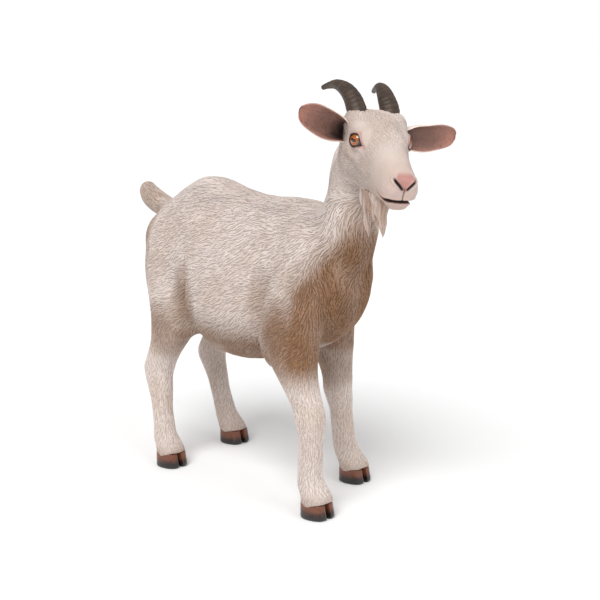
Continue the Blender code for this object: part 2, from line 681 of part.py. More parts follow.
def main():
    """Model the goat, part it, and put its origin on the floor under the middle of its box."""
    clear_scene()
    parts = collection("goat_statue")
    tools = collection("tools")
    place = head_place()

    flesh = join("flesh", body_shapes(tools), tools)
    fuse(flesh, VOXEL, SMOOTHING_ROUNDS)
    height = corners(flesh)[:, 2]
    soften(flesh, fade(height, *SOFT_FROM) * fade(height, *SOFT_UP_TO))
    tail_stock = tipped_shape("tail_shape", TAIL, tools)
    flesh = join("trunk", [flesh, tail_stock, *head_shapes(tools)], parts)
    fuse(flesh, VOXEL, SMOOTHING_ROUNDS)
    reach = np.linalg.norm(corners(flesh) - np.array(place @ POLL_AT), axis=1)
    soften(flesh, fade(reach, *POLL_REACH))

    head = part_by_plane(flesh, "head", THROAT_CUT[0], THROAT_CUT[1], parts)
    thin(flesh, TRIANGLES["rest"])
    neck = part_by_plane(flesh, "neck", NECK_CUT[0], NECK_CUT[1], parts)
    tail = part_by_plane(flesh, "tail", TAIL_CUT[0], TAIL_CUT[1], parts)

    pieces = {"trunk": flesh, "head": head, "neck": neck, "tail": tail}
    for name, block in leg_boxes(tools, 0.0).items():
        pieces[name] = copy_of(flesh, name, parts)
        cut(pieces[name], block, "INTERSECT")
    for block in leg_boxes(tools, GAP).values():
        cut(flesh, block, "DIFFERENCE")

    claws = []
    for name, side, _, x, y in legs():
        claws += add_claws(pieces[name], name.replace("leg_", "_"), side, (x, y), parts)

    thin(head, TRIANGLES["head"])
    skull = grown(head, "grown_head", GAP, tools)
    nape = grown(neck, "grown_neck", GAP, tools)
    horns = []
    ears = []
    eyes = []
    for side, word in ((-1.0, "right"), (1.0, "left")):
        horns.append(horn("horn_" + word, side, parts))
        ears.append(ear("ear_" + word, word, parts))
        centre = Vector((side * EYE_AT.x, EYE_AT.y, EYE_AT.z))
        eyes.append(ellipsoid("eye_" + word, centre, (EYE_RADIUS,) * 3, parts, EYE_SEGMENTS))
        socket = ellipsoid("socket", centre, (EYE_RADIUS + GAP,) * 3, tools, EYE_SEGMENTS)
        for shape in (horns[-1], ears[-1], eyes[-1], socket):
            shape.data.transform(place)
        cut(head, socket, "DIFFERENCE")
    for shape in horns + ears:
        cut(shape, skull, "DIFFERENCE")
    slit = mouth_tool(tools)
    slit.data.transform(place)
    for tool in [slit, *nostril_tools(tools)]:
        cut(head, tool, "DIFFERENCE")
    lower_teeth = teeth(parts)

    locks = beard(parts, tools)
    thin(locks, TRIANGLES["beard"])
    cut(locks, skull, "DIFFERENCE")
    cut(locks, nape, "DIFFERENCE")

    coat = material("coat", COAT, 0.6)
    for shape in [*pieces.values(), *ears]:
        shade_round(shape, coat)
    shade_round(locks, material("beard_tan", TAN, 0.6))
    brown = material("horn", HORN_BROWN, 0.5)
    black = material("claw", HOOF_BLACK, 0.35)
    amber = material("eye", EYE_ORANGE, 0.1)
    shade_round(lower_teeth, material("tooth", TOOTH, 0.3))
    for shapes, finish in ((horns, brown), (claws, black), (eyes, amber)):
        for shape in shapes:
            shade_round(shape, finish)
    for tool in tools.objects:
        tool.hide_render = True
        tool.display_type = "WIRE"
    centre_on_floor(parts)


def centre_on_floor(parts):
    """Move the pieces so that the middle of their box stands over the origin."""
    points = np.array([point.co for thing in parts.objects for point in thing.data.vertices])
    middle = (points.min(axis=0) + points.max(axis=0)) / 2.0
    shift = Matrix.Translation((-middle[0], -middle[1], 0.0))
    for thing in parts.objects:
        thing.data.transform(shift)


if __name__ == "__main__":
    main()
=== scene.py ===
"""Looks of the life-size resin goat statue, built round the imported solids.

One skin is melted from the solids of flesh and sculpted; a carved coat of tapering strands lies on
it, and the ears, horns, claws, eyes, teeth and beard are pieces of their own.
"""
import math

import bmesh
import bpy
import numpy as np
from bpy.props import FloatProperty, FloatVectorProperty, IntProperty, PointerProperty
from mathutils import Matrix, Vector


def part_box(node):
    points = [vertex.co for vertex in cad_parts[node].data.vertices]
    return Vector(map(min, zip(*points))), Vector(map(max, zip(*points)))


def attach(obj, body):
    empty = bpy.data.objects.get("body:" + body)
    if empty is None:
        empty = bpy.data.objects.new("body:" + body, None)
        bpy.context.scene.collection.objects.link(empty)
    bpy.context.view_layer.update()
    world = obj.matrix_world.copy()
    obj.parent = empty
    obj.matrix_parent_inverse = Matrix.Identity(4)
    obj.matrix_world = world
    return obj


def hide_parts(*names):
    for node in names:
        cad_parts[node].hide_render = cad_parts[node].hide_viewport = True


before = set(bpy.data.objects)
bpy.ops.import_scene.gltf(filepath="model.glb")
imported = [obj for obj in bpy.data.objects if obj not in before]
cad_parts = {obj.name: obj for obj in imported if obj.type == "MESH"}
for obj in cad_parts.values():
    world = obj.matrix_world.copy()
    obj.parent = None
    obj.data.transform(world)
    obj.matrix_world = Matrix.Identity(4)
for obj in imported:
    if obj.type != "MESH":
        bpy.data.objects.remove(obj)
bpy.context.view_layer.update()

bl_info = {
    "name": "Goat statue",
    "version": (1, 0, 0),
    "blender": (4, 5, 0),
    "location": "3D View > Sidebar > Goat",
    "description": "Skin, carved coat and fittings of a life-size goat statue",
    "category": "Add Mesh",
}

FLESH = ("trunk", "neck", "head", "tail",
         "foreleg_right", "foreleg_left", "hindleg_right", "hindleg_left")
EYES = ("eye_right", "eye_left")

# the head's own level frame: x to its left, y to the back, z up
HEAD_TURN = 27.5        # degrees towards the goat's right
HEAD_DIP = 18.5         # degrees, muzzle down
HEAD_LEAN = 4.8         # degrees, left ear down
EYE_AT = np.array([0.0380, -0.0010, 0.0020])


def turned(axis, degrees):
    """Rotation matrix about x, y or z."""
    a = math.radians(degrees)
    c, s = math.cos(a), math.sin(a)
    rows = {"x": [[1, 0, 0], [0, c, -s], [0, s, c]], "y": [[c, 0, s], [0, 1, 0], [-s, 0, c]],
            "z": [[c, -s, 0], [s, c, 0], [0, 0, 1]]}
    return np.array(rows[axis], float)


def middle(node):
    """Middle of a solid's box."""
    low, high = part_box(node)
    return (np.array(low) + np.array(high)) / 2.0


HEAD_AXES = turned("z", -HEAD_TURN) @ turned("x", HEAD_DIP) @ turned("y", HEAD_LEAN)
HEAD_AT = (middle("eye_right") + middle("eye_left")) / 2.0 - HEAD_AXES @ (EYE_AT * [0, 1, 1])


def to_head(points):
    """Row frame to the level head."""
    return (points - HEAD_AT) @ HEAD_AXES


def from_head(points):
    """Level head to the row frame."""
    return points @ HEAD_AXES.T + HEAD_AT


# ---------------------------------------------------------------- arrays and meshes

def unit(vectors):
    """Vectors made one long."""
    return vectors / np.maximum(np.linalg.norm(vectors, axis=-1, keepdims=True), 1e-12)


def ramp(values, start, end):
    """0 at start, 1 at end, on an S-shaped slope between."""
    t = np.clip((values - start) / (end - start), 0.0, 1.0)
    return t * t * (3.0 - 2.0 * t)


def hill(points, centre, radii):
    """1 at the centre and 0 from the ellipsoid's surface on: (1 - d^2)^2."""
    d = np.sum(((points - centre) / radii) ** 2, axis=-1)
    return np.clip(1.0 - d, 0.0, 1.0) ** 2


def bell(values, width):
    """1 at 0, falling to both sides as exp(-(x / width)^2)."""
    return np.exp(-(values / width) ** 2)


ROUND = 6.28            # a whole turn, for random phases
WAVES = 8


def waves(points, size, seed):
    """Smooth noise from about -1 to 1: a sum of sine waves in seeded directions."""
    draw = np.random.default_rng(seed)
    total = np.zeros(len(points))
    ways = unit(draw.normal(size=(WAVES, 3)))
    phases = draw.uniform(0, ROUND, WAVES)
    paces = draw.uniform(0.6, 1.6, WAVES)
    for way, phase, pace in zip(ways, phases, paces):
        total += np.sin(points @ way * (2.0 * math.pi * pace / size) + phase)
    return total / (WAVES / 2.0)


def read(items, name, width=3, kind=np.float32):
    """An attribute of mesh items as an array."""
    found = np.empty(len(items) * width, kind)
    items.foreach_get(name, found)
    return found.reshape(-1, width) if width > 1 else found


def add_object(name, mesh):
    """A mesh as an object at the origin."""
    made = bpy.data.objects.new(name, mesh)
    bpy.context.scene.collection.objects.link(made)
    return made


def mesh_from(name, points, faces):
    """A mesh from arrays of points and of equal faces."""
    mesh = bpy.data.meshes.new(name)
    points = np.asarray(points, np.float32)
    faces = np.asarray(faces, np.int32)
    mesh.vertices.add(len(points))
    mesh.vertices.foreach_set("co", points.ravel())
    mesh.loops.add(faces.size)
    mesh.loops.foreach_set("vertex_index", faces.ravel())
    mesh.polygons.add(len(faces))
    mesh.polygons.foreach_set("loop_start", np.arange(0, faces.size, faces.shape[1], dtype=np.int32))
    mesh.update(calc_edges=True)
    mesh.shade_smooth()
    return mesh


def settle(thing):
    """Replace an object's mesh by what its modifiers make of it."""
    graph = bpy.context.evaluated_depsgraph_get()
    mesh = bpy.data.meshes.new_from_object(thing.evaluated_get(graph))
    thing.modifiers.clear()
    thing.data = mesh
    return thing


def smoothed(values, edges, rounds, weight=0.5, back=0.0, share=None):
    """Each value drawn towards the mean of its neighbours, and pushed back by the second factor."""
    first, second = edges[:, 0], edges[:, 1]
    count = len(values)
    joined = np.maximum(np.bincount(first, minlength=count) + np.bincount(second, minlength=count), 1)
    flat = values.reshape(count, -1).astype(float)
    step_share = 1.0 if share is None else share[:, None]
    for _ in range(rounds):
        for factor in ((weight, back) if back else (weight,)):
            total = [np.bincount(first, column[second], count) + np.bincount(second, column[first], count)
                     for column in flat.T]
            flat = flat + factor * step_share * (np.stack(total, axis=1) / joined[:, None] - flat)
    return flat.reshape(values.shape)


# ---------------------------------------------------------------- skin

SWELL = 0.0024          # closes the cuts between the solids, the mouth and the nostrils


def melted_flesh(swell, grain):
    """The solids of flesh and the eyes, swollen so that cuts and slits close, as one voxel skin."""
    work = bmesh.new()
    for node in FLESH + EYES:
        copy = bmesh.new()
        copy.from_mesh(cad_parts[node].data)
        bmesh.ops.remove_doubles(copy, verts=copy.verts, dist=1e-5)
        bmesh.ops.recalc_face_normals(copy, faces=copy.faces)
        copy.normal_update()
        for point in copy.verts:
            point.co += point.normal * swell
        mesh = bpy.data.meshes.new(node)
        copy.to_mesh(mesh)
        copy.free()
        work.from_mesh(mesh)
        bpy.data.meshes.remove(mesh)
    mesh = bpy.data.meshes.new("skin")
    work.to_mesh(mesh)
    work.free()
    skin = add_object("skin", mesh)
    remesh = skin.modifiers.new("melt", "REMESH")
    remesh.mode = "VOXEL"
    remesh.voxel_size = grain
    return settle(skin)


def refine(skin, where):
    """Split the edges inside a region, given by a function of the points, once."""
    points = read(skin.data.vertices, "co")
    wanted = where(points)
    work = bmesh.new()
    work.from_mesh(skin.data)
    edges = [edge for edge in work.edges if wanted[edge.verts[0].index] and wanted[edge.verts[1].index]]
    bmesh.ops.subdivide_edges(work, edges=edges, cuts=1, use_grid_fill=True)
    work.to_mesh(skin.data)
    work.free()


def shape_skin(skin, change):
    """Move the points of the skin by a function of points and normals."""
    points = read(skin.data.vertices, "co").astype(float)
    normals = read(skin.data.vertex_normals, "vector").astype(float)
    skin.data.vertices.foreach_set("co", change(points, normals).astype(np.float32).ravel())
    skin.data.update()


def relax(skin, rounds, weight=0.5, back=-0.53, share=None):
    """Smooth the skin without shrinking it."""
    edges = read(skin.data.edges, "vertices", 2, np.int32)
    shape_skin(skin, lambda points, normals: smoothed(
        points, edges, rounds, weight, back, None if share is None else share(points)))


def build_skin(sizes):
    """Melt, smooth and sink the skin by the coat's depth, with a finer head."""
    skin = melted_flesh(SWELL, sizes.skin_grain)
    relax(skin, 40)
    shape_skin(skin, lambda points, normals: points - normals * (SWELL + sizes.coat_depth))
    relax(skin, 10)
    refine(skin, lambda points: in_head(points, 0.012))
    relax(skin, 6, share=head_only)
    shape_skin(skin, sculpt_body)
    refine(skin, lambda points: in_head(points, 0.0) & (muzzle(points) | (eye_reach(points) < 0.032)))
    relax(skin, 3, share=head_only)
    refine(skin, lambda points: in_head(points, 0.0) & ((eye_reach(points) < 0.0225) | lips(points)))
    relax(skin, 3, share=head_only)
    shape_skin(skin, sculpt_lids)
    shape_skin(skin, sculpt_head)
    return skin


def head_only(points):
    """1 in the head, 0 elsewhere."""
    return in_head(points, 0.0).astype(float)


def muzzle(points):
    """Whether points lie on the muzzle, from the corners of the mouth on."""
    return to_head(points)[:, 1] < -0.078


def lips(points):
    """Whether points lie by the line between the lips."""
    local = to_head(points)
    return (local[:, 1] < -0.082) & (np.abs(local[:, 2] - lip_height(local[:, 1])) < 0.006)


def eye_reach(points):
    """Distance from the middle of the nearer eye."""
    return lid_place(to_head(points))[0]


def in_head(points, margin):
    """Whether points lie in the head, forward of the poll, with a margin."""
    local = to_head(points)
    return ((local[:, 1] < 0.085 + margin) & (local[:, 2] > -0.110 - margin) & (local[:, 1] > -0.2)
            & (np.abs(local[:, 0]) < 0.075) & (local[:, 2] < 0.08)
            & (local[:, 2] > -0.105 - margin + 0.9 * np.maximum(local[:, 1] - 0.02, 0.0)))


# ---------------------------------------------------------------- head features

EYE_CENTRE = np.array([0.0405, 0.0010, 0.0030])     # of the goat's left eye; the right one mirrors it
EYE_BALL = 0.0170
EYE_LOOK = np.array([0.86, -0.46, 0.16])
LID_LENGTH = 1.00       # half the opening, in radians round the ball
LID_HEIGHT = 0.68
LID_SLANT = 0.22        # radians the front corner hangs
LID_THICKNESS = (0.0026, 0.0018)    # upper and lower rim, over the ball
LID_REACH = 0.034       # from the eye's middle
LID_FADES = 0.62        # radians outside the opening
SOCKET_DEPTH = 0.0030   # of the skin under the ball's surface
MIRROR = np.array([[-1.0, 1.0, 1.0]])
NOSTRIL = np.array([[0.0215, -0.1290, -0.0100], [0.0165, -0.1345, -0.0150], [0.0105, -0.1375, -0.0205],
                    [0.0050, -0.1385, -0.0262]])
TEAR_LINE = ((0.0500, -0.0150, -0.0050), (0.0440, -0.0290, -0.0050), (0.0400, -0.0420, -0.0120),
             (0.0380, -0.0540, -0.0220))
CHEEK_BONE = ((0.052, 0.030, -0.022), (0.0465, -0.002, -0.030), (0.0400, -0.040, -0.040))
LIP_FOLD = ((0.0330, -0.0800, -0.0480), (0.0330, -0.0700, -0.0580), (0.0310, -0.0640, -0.0700))
MOUTH_CORNER = np.array([0.030, -0.084, -0.050])
MOUTH_SAG = 0.005
MOUTH_LENGTH = 0.062


def eye_axes():
    """Ways of the left eye: where it looks, towards its front corner, and up."""
    look = unit(EYE_LOOK)
    front = unit(np.cross(look, np.array([0.0, 0.0, -1.0])))
    up = np.cross(front, look)
    up = up if up[2] > 0 else -up
    front = front if front[1] < 0 else -front
    c, s = math.cos(LID_SLANT), math.sin(LID_SLANT)
    return look, front * c - up * s, up * c + front * s


def mirrored(local):
    """Head points brought over to the goat's left side."""
    return local * np.where(local[:, :1] < 0.0, MIRROR, 1.0)


def lid_place(local):
    """Distance and way from the eye's middle, whether above its level, and radians outside the opening.

    With u along the opening and v across it, these radians are |v| - h (1 - (u / a)^2).
    """
    off = mirrored(local) - EYE_CENTRE
    reach = np.linalg.norm(off, axis=1)
    look, front, up = eye_axes()
    way = off / np.maximum(reach, 1e-9)[:, None]
    u = np.arctan2(way @ front, way @ look)
    v = np.arctan2(way @ up, way @ look)
    outside = np.abs(v) - LID_HEIGHT * (1.0 - (u / LID_LENGTH) ** 2)
    outside = np.where(way @ look < 0.05, 2.0, outside)
    return reach, way, v > 0.0, np.minimum(outside, 2.0)


def lip_height(y):
    """Height of the line between the lips at a place along the muzzle."""
    share = (MOUTH_CORNER[1] - y) / MOUTH_LENGTH
    return MOUTH_CORNER[2] - MOUTH_SAG * np.sin(math.pi * np.clip(share * 1.3, 0.0, 1.0))


def off_line(points, line):
    """Distance of each point from a broken line, and the share of the line's length passed there."""
    line = np.array(line)
    best, where = np.full(len(points), 9.0), np.zeros(len(points))
    for number, (start, end) in enumerate(zip(line[:-1], line[1:])):
        way = end - start
        share = np.clip((points - start) @ way / (way @ way), 0.0, 1.0)
        far = np.linalg.norm(points - start - share[:, None] * way, axis=1)
        where = np.where(far < best, (number + share) / (len(line) - 1), where)
        best = np.minimum(best, far)
    return best, where


def sculpt_lids(points, normals):
    """Skin round each eye: sunk behind the ball in the opening, a rolled rim, a fold, then the brow."""
    local = to_head(points)
    reach, way, upper, outside = lid_place(local)
    near = (reach < LID_REACH) & (way @ unit(EYE_LOOK) > -0.15)
    rim = EYE_BALL + np.where(upper, LID_THICKNESS[0], LID_THICKNESS[1])
    inside = ramp(outside, 0.02, -0.10)
    roll = ramp(outside, LID_FADES, 0.10)
    fold = np.where(upper, bell(outside - 0.30, 0.07) * -0.0011, bell(outside - 0.26, 0.07) * -0.0006)
    target = np.maximum(reach, rim) * (1.0 - roll) + rim * roll
    target = target * (1.0 - inside) + (EYE_BALL - SOCKET_DEPTH) * inside + fold
    target = np.where(outside > LID_FADES, reach, target)
    moved = EYE_CENTRE + way * target[:, None]
    moved = moved * np.where(local[:, :1] < 0.0, MIRROR, 1.0)
    return np.where(near[:, None], from_head(moved), points)


def sculpt_head(points, normals):
    """Nostrils, lips, philtrum, tear line and cheek bone, as grooves and ridges off their lines."""
    local = to_head(points)
    side = mirrored(local)
    push = np.zeros(len(points))
    far, share = off_line(side, NOSTRIL)
    push -= 0.0058 * bell(far, 0.0017 + 0.0005 * (1.0 - share))
    push += 0.0013 * bell(far - 0.0050, 0.0018) * ramp(side[:, 2], -0.034, -0.024)
    line = local[:, 2] - lip_height(local[:, 1])
    ahead = ramp(local[:, 1], MOUTH_CORNER[1] + 0.001, MOUTH_CORNER[1] - 0.014)
    front = ramp(local[:, 1], -0.100, -0.128)
    half = 0.0006 + 0.0016 * front
    push -= ahead * 0.0060 * ramp(np.abs(line), half + 0.0016, half)
    push += ahead * 0.0013 * bell(np.abs(line) - half - 0.0036, 0.0024)
    philtrum = bell(local[:, 0], 0.0013) * ramp(local[:, 1], -0.125, -0.134)
    push -= philtrum * 0.0022 * (line > 0.0) * ramp(local[:, 2], -0.020, -0.026)
    far, share = off_line(side, TEAR_LINE)
    push -= 0.0012 * bell(far, 0.0022) * (1.0 - share)
    push += 0.0014 * bell(far - 0.0060, 0.0034) * (1.0 - share)
    far, share = off_line(side, CHEEK_BONE)
    push += 0.0016 * bell(far, 0.0075)
    push -= 0.0016 * bell(far - 0.014, 0.0070) * (side[:, 2] < -0.035)
    far, share = off_line(side, LIP_FOLD)
    push -= 0.0012 * bell(far, 0.0024)
    wrinkle = np.sin(local[:, 1] * 900.0 + 5.0 * local[:, 2] / 0.02) * 0.00022
    push += wrinkle * ramp(local[:, 1], -0.10, -0.12) * (local[:, 2] > -0.035) * (side[:, 0] > 0.012)
    return points + normals * push[:, None]


# creases of the body: line on the goat's right side, width, depth
CREASES = (
    (((-0.080, 0.165, 0.505), (-0.095, 0.160, 0.477), (-0.104, 0.153, 0.403), (-0.098, 0.160, 0.345),
      (-0.085, 0.158, 0.305)), 0.0075, 0.0050),
    (((-0.060, -0.100, 0.470), (-0.083, -0.068, 0.431), (-0.086, -0.053, 0.376), (-0.085, -0.062, 0.325)),
     0.0080, 0.0040),
    (((-0.050, -0.205, 0.470), (-0.078, -0.178, 0.420), (-0.092, -0.180, 0.370)), 0.0080, 0.0030),
    (((-0.072, 0.235, 0.345), (-0.078, 0.262, 0.325), (-0.074, 0.285, 0.300)), 0.0060, 0.0022),
)


def sculpt_body(points, normals):
    """Folds of flank, elbow and chest, grooves with a swelling beside, and a low ridge along the spine."""
    side = points * np.where(points[:, :1] > 0.0, MIRROR, 1.0)
    push = np.zeros(len(points))
    for line, width, depth in CREASES:
        far, share = off_line(side, line)
        ends = np.sin(math.pi * np.clip(share, 0.04, 0.96)) ** 0.5
        push -= depth * ends * bell(far, width)
        push += 0.35 * depth * ends * bell(far - 2.1 * width, 0.9 * width)
    spine = (np.abs(points[:, 0]) < 0.02) & (points[:, 2] > 0.56) & (points[:, 1] > -0.17)
    push += 0.0016 * bell(points[:, 0], 0.006) * spine
    return points + normals * push[:, None]


# ---------------------------------------------------------------- where the paint goes

# heights, and how far forward the neck's axis is there
NECK_AXIS = ((0.43, 0.50, 0.556, 0.605, 0.65, 0.70), (-0.14, -0.19, -0.226, -0.240, -0.247, -0.262))
# tan patches of one side: middle, radii, share of tan
TAN_PATCHES = (
    ((0.095, 0.156, 0.350), (0.060, 0.045, 0.110), 0.80),
    ((0.085, 0.215, 0.300), (0.080, 0.110, 0.070), 0.80),
    ((0.095, -0.140, 0.335), (0.080, 0.120, 0.095), 0.95),
    ((0.084, -0.060, 0.400), (0.030, 0.032, 0.080), 0.45),
    ((0.050, 0.335, 0.430), (0.090, 0.060, 0.170), 0.75),
    ((0.000, 0.390, 0.560), (0.060, 0.060, 0.060), 0.55),
    ((0.060, 0.020, 0.250), (0.150, 0.190, 0.075), 1.00),
)
# height and half width of the bare pad of the nose
NOSE_PAD = ((-0.034, -0.027, -0.009, 0.000), (0.001, 0.005, 0.018, 0.010))


def marks(points):
    """Shares of tan, grey, pink, and of near black at each place (lid rims, and painted shade in nostrils,
    mouth line and philtrum), each a sum of soft hills and bands.
    """
    local = to_head(points)
    head = in_head(points, 0.0) & (points[:, 2] > 0.56)
    face = mirrored(local)
    side = np.abs(points) * [1, 0, 0] + points * [0, 1, 1]
    y, z = side[:, 1], side[:, 2]
    soft = waves(points, 0.07, 3)
    fine = waves(points, 0.022, 5)
    trunk = ramp(z, 0.250, 0.300)
    axis = np.interp(z, *NECK_AXIS)
    throat = ramp(axis - y, 0.004, 0.058) * ramp(z, 0.40, 0.47) * ramp(z, 0.655, 0.60) * (y < -0.08)
    tan = throat ** 0.6
    front = ramp(axis - y, -0.022, 0.026) * ramp(z, 0.64, 0.50) * ramp(z, 0.235, 0.300) * (y < -0.09)
    tan = np.maximum(tan, front)
    tan = np.maximum(tan, 1.00 * hill(side, (0.0, -0.225, 0.385), (0.15, 0.14, 0.17)) ** 0.45)
    belly = 0.95 * ramp(z, 0.365, 0.285) * ramp(y, -0.20, -0.10) * ramp(y, 0.27, 0.16) * trunk
    tan = np.maximum(tan, belly)
    for centre, radii, much in TAN_PATCHES:
        tan = np.maximum(tan, much * hill(side, centre, radii) ** 0.42)
    tan = np.where(head, 0.12 + 0.12 * ramp(local[:, 2], 0.035, -0.085), tan * (0.94 + 0.10 * soft))
    grey = 0.75 * ramp(z, 0.44, 0.60) * (y > -0.19) * (0.65 + 0.5 * soft) * (y < 0.34)
    grey = np.maximum(grey, 0.35 * trunk * (0.5 + 0.5 * fine) * (y > -0.2))
    grey = np.where(head, 0.25 * (0.5 + 0.5 * fine) * ramp(local[:, 1], -0.06, 0.0), grey * trunk)
    pink = 0.24 * ramp(local[:, 1], -0.080, -0.130)
    half = np.interp(local[:, 2], *NOSE_PAD)
    pad = ramp(face[:, 0] - half, 0.0030, -0.0030) * ramp(local[:, 1], -0.112, -0.126)
    pink = np.maximum(pink, pad * ramp(local[:, 2], -0.036, -0.030) * ramp(local[:, 2], 0.004, -0.007))
    line = local[:, 2] - lip_height(local[:, 1])
    lips = 0.6 * bell(np.abs(line) - 0.003, 0.0030) * ramp(local[:, 1], -0.080, -0.092)
    pink = np.maximum(pink, 0.95 * lips)
    reach, outside = lid_place(local)[::3]
    round_eye = ramp(outside, LID_FADES, 0.12) * (reach < 0.030)
    pink = np.where(head, np.maximum(pink, 0.75 * round_eye), 0.0)
    # black lid rims
    soot = ramp(outside, 0.13, 0.04) * (reach < 0.024)
    # painted shade: the nostril slits near black
    far, share = off_line(face * [1, 0, 1], NOSTRIL * [1, 0, 1])
    soot = np.maximum(soot, ramp(far, 0.0038, 0.0012) * ramp(share, 0.0, 0.30) * (local[:, 1] < -0.11))
    # painted shadow: a near-black line where the mouth stands open
    gape = 0.0008 + 0.0017 * ramp(local[:, 1], -0.100, -0.128)
    soot = np.maximum(soot, ramp(np.abs(line), gape + 0.0012, gape) * ramp(local[:, 1], -0.082, -0.094))
    # painted shade down the groove of the philtrum
    cleft = bell(local[:, 0], 0.0012) * ramp(local[:, 2], -0.022, -0.026) * (line > 0)
    soot = np.maximum(soot, 0.6 * cleft * (local[:, 1] < -0.128))
    soot = np.where(head, soot, 0.0)
    ankle = 0.30 * ramp(z, 0.050, 0.026)
    tan = np.maximum(tan, np.where(z < 0.06, ankle, 0.0))
    return np.clip(np.stack([tan, grey, pink, soot], axis=1), 0.0, 1.0)


def copies(faces, count, step):
    """The faces of one thing, for so many of them, step points apart."""
    return (faces[None] + step * np.arange(count)[:, None, None]).reshape(-1, 3)


def keep(mesh, **layers):
    """Store numbers on a mesh's points, one layer for each name."""
    for name, values in layers.items():
        mesh.attributes.new(name, "FLOAT", "POINT").data.foreach_set("value", values.astype(np.float32))


def keep_marks(mesh, marked, groove, tone):
    """Store the shares of paint, the groove darkness (brown wash with painted shade) and the tone on a mesh's
    points.
    """
    layer = mesh.attributes.new("marks", "FLOAT_COLOR", "POINT")
    layer.data.foreach_set("color", marked.astype(np.float32).ravel())
    keep(mesh, groove=groove, tone=tone)


def keep_chart(mesh, places):
    """Store the unwrap of a coat, given for its points, as the map OFBake."""
    corners = read(mesh.loops, "vertex_index", 1, np.int32)
    mesh.uv_layers.new(name="OFBake").data.foreach_set("uv", places[corners].astype(np.float32).ravel())


# ---------------------------------------------------------------- materials

class Paint:
    """Short calls that add and join the nodes of one material."""

    def __init__(self, name):
        self.material = bpy.data.materials.new(name)
        self.material.use_nodes = True
        self.tree = self.material.node_tree
        self.shader = self.tree.nodes["Principled BSDF"]
        self.place = self.add("ShaderNodeTexCoord").outputs["Object"]

    def add(self, kind, **values):
        """A node with its properties set."""
        node = self.tree.nodes.new(kind)
        for key, value in values.items():
            setattr(node, key, value)
        return node

    def feed(self, socket, value):
        """Join a socket to another, or set it."""
        if isinstance(value, bpy.types.NodeSocket):
            self.tree.links.new(value, socket)
        elif socket.type == "RGBA":
            socket.default_value = (*value, 1.0)
        else:
            socket.default_value = value

    def math(self, operation, *values):
        """A sum, product or the like."""
        node = self.add("ShaderNodeMath", operation=operation)
        for socket, value in zip(node.inputs, values):
            self.feed(socket, value)
        return node.outputs[0]

    def times(self, first, second):
        """A product."""
        return self.math("MULTIPLY", first, second)

    def plus(self, first, second):
        """A sum."""
        return self.math("ADD", first, second)

    def mix(self, factor, first, second):
        """Two colours mixed."""
        node = self.add("ShaderNodeMix", data_type="RGBA")
        for name, value in (("Factor_Float", factor), ("A_Color", first), ("B_Color", second)):
            self.feed(next(each for each in node.inputs if each.identifier == name), value)
        return next(each for each in node.outputs if each.identifier == "Result_Color")

    def ramp(self, value, start, end):
        """0 at start and 1 at end, smooth between."""
        node = self.add("ShaderNodeMapRange", interpolation_type="SMOOTHSTEP")
        for name, given in (("Value", value), ("From Min", start), ("From Max", end)):
            self.feed(node.inputs[name], given)
        return node.outputs[0]

    def noise(self, scale, detail=4.0, stretch=None):
        """Noise in the object's metres, drawn out along an axis where asked."""
        node = self.add("ShaderNodeTexNoise")
        node.inputs["Scale"].default_value = scale
        node.inputs["Detail"].default_value = detail
        place = self.place
        if stretch is not None:
            mapping = self.add("ShaderNodeMapping")
            mapping.inputs["Scale"].default_value = stretch
            self.tree.links.new(place, mapping.inputs["Vector"])
            place = mapping.outputs["Vector"]
        self.tree.links.new(place, node.inputs["Vector"])
        return node.outputs[0]

    def attribute(self, name, output="Fac"):
        """An attribute of the mesh."""
        return self.add("ShaderNodeAttribute", attribute_name=name).outputs[output]

    def bump(self, height, distance, strength=1.0):
        """Give the shader a bump from a height between 0 and 1."""
        node = self.add("ShaderNodeBump")
        self.feed(node.inputs["Height"], height)
        node.inputs["Distance"].default_value = distance
        node.inputs["Strength"].default_value = strength
        self.tree.links.new(node.outputs["Normal"], self.shader.inputs["Normal"])

    def finish(self, colour, roughness, coat=0.0):
        """Join colour and roughness to the shader."""
        self.feed(self.shader.inputs["Base Color"], colour)
        self.feed(self.shader.inputs["Roughness"], roughness)
        if coat:
            self.shader.inputs["Coat Weight"].default_value = coat
            self.shader.inputs["Coat Roughness"].default_value = 0.08
        return self.material


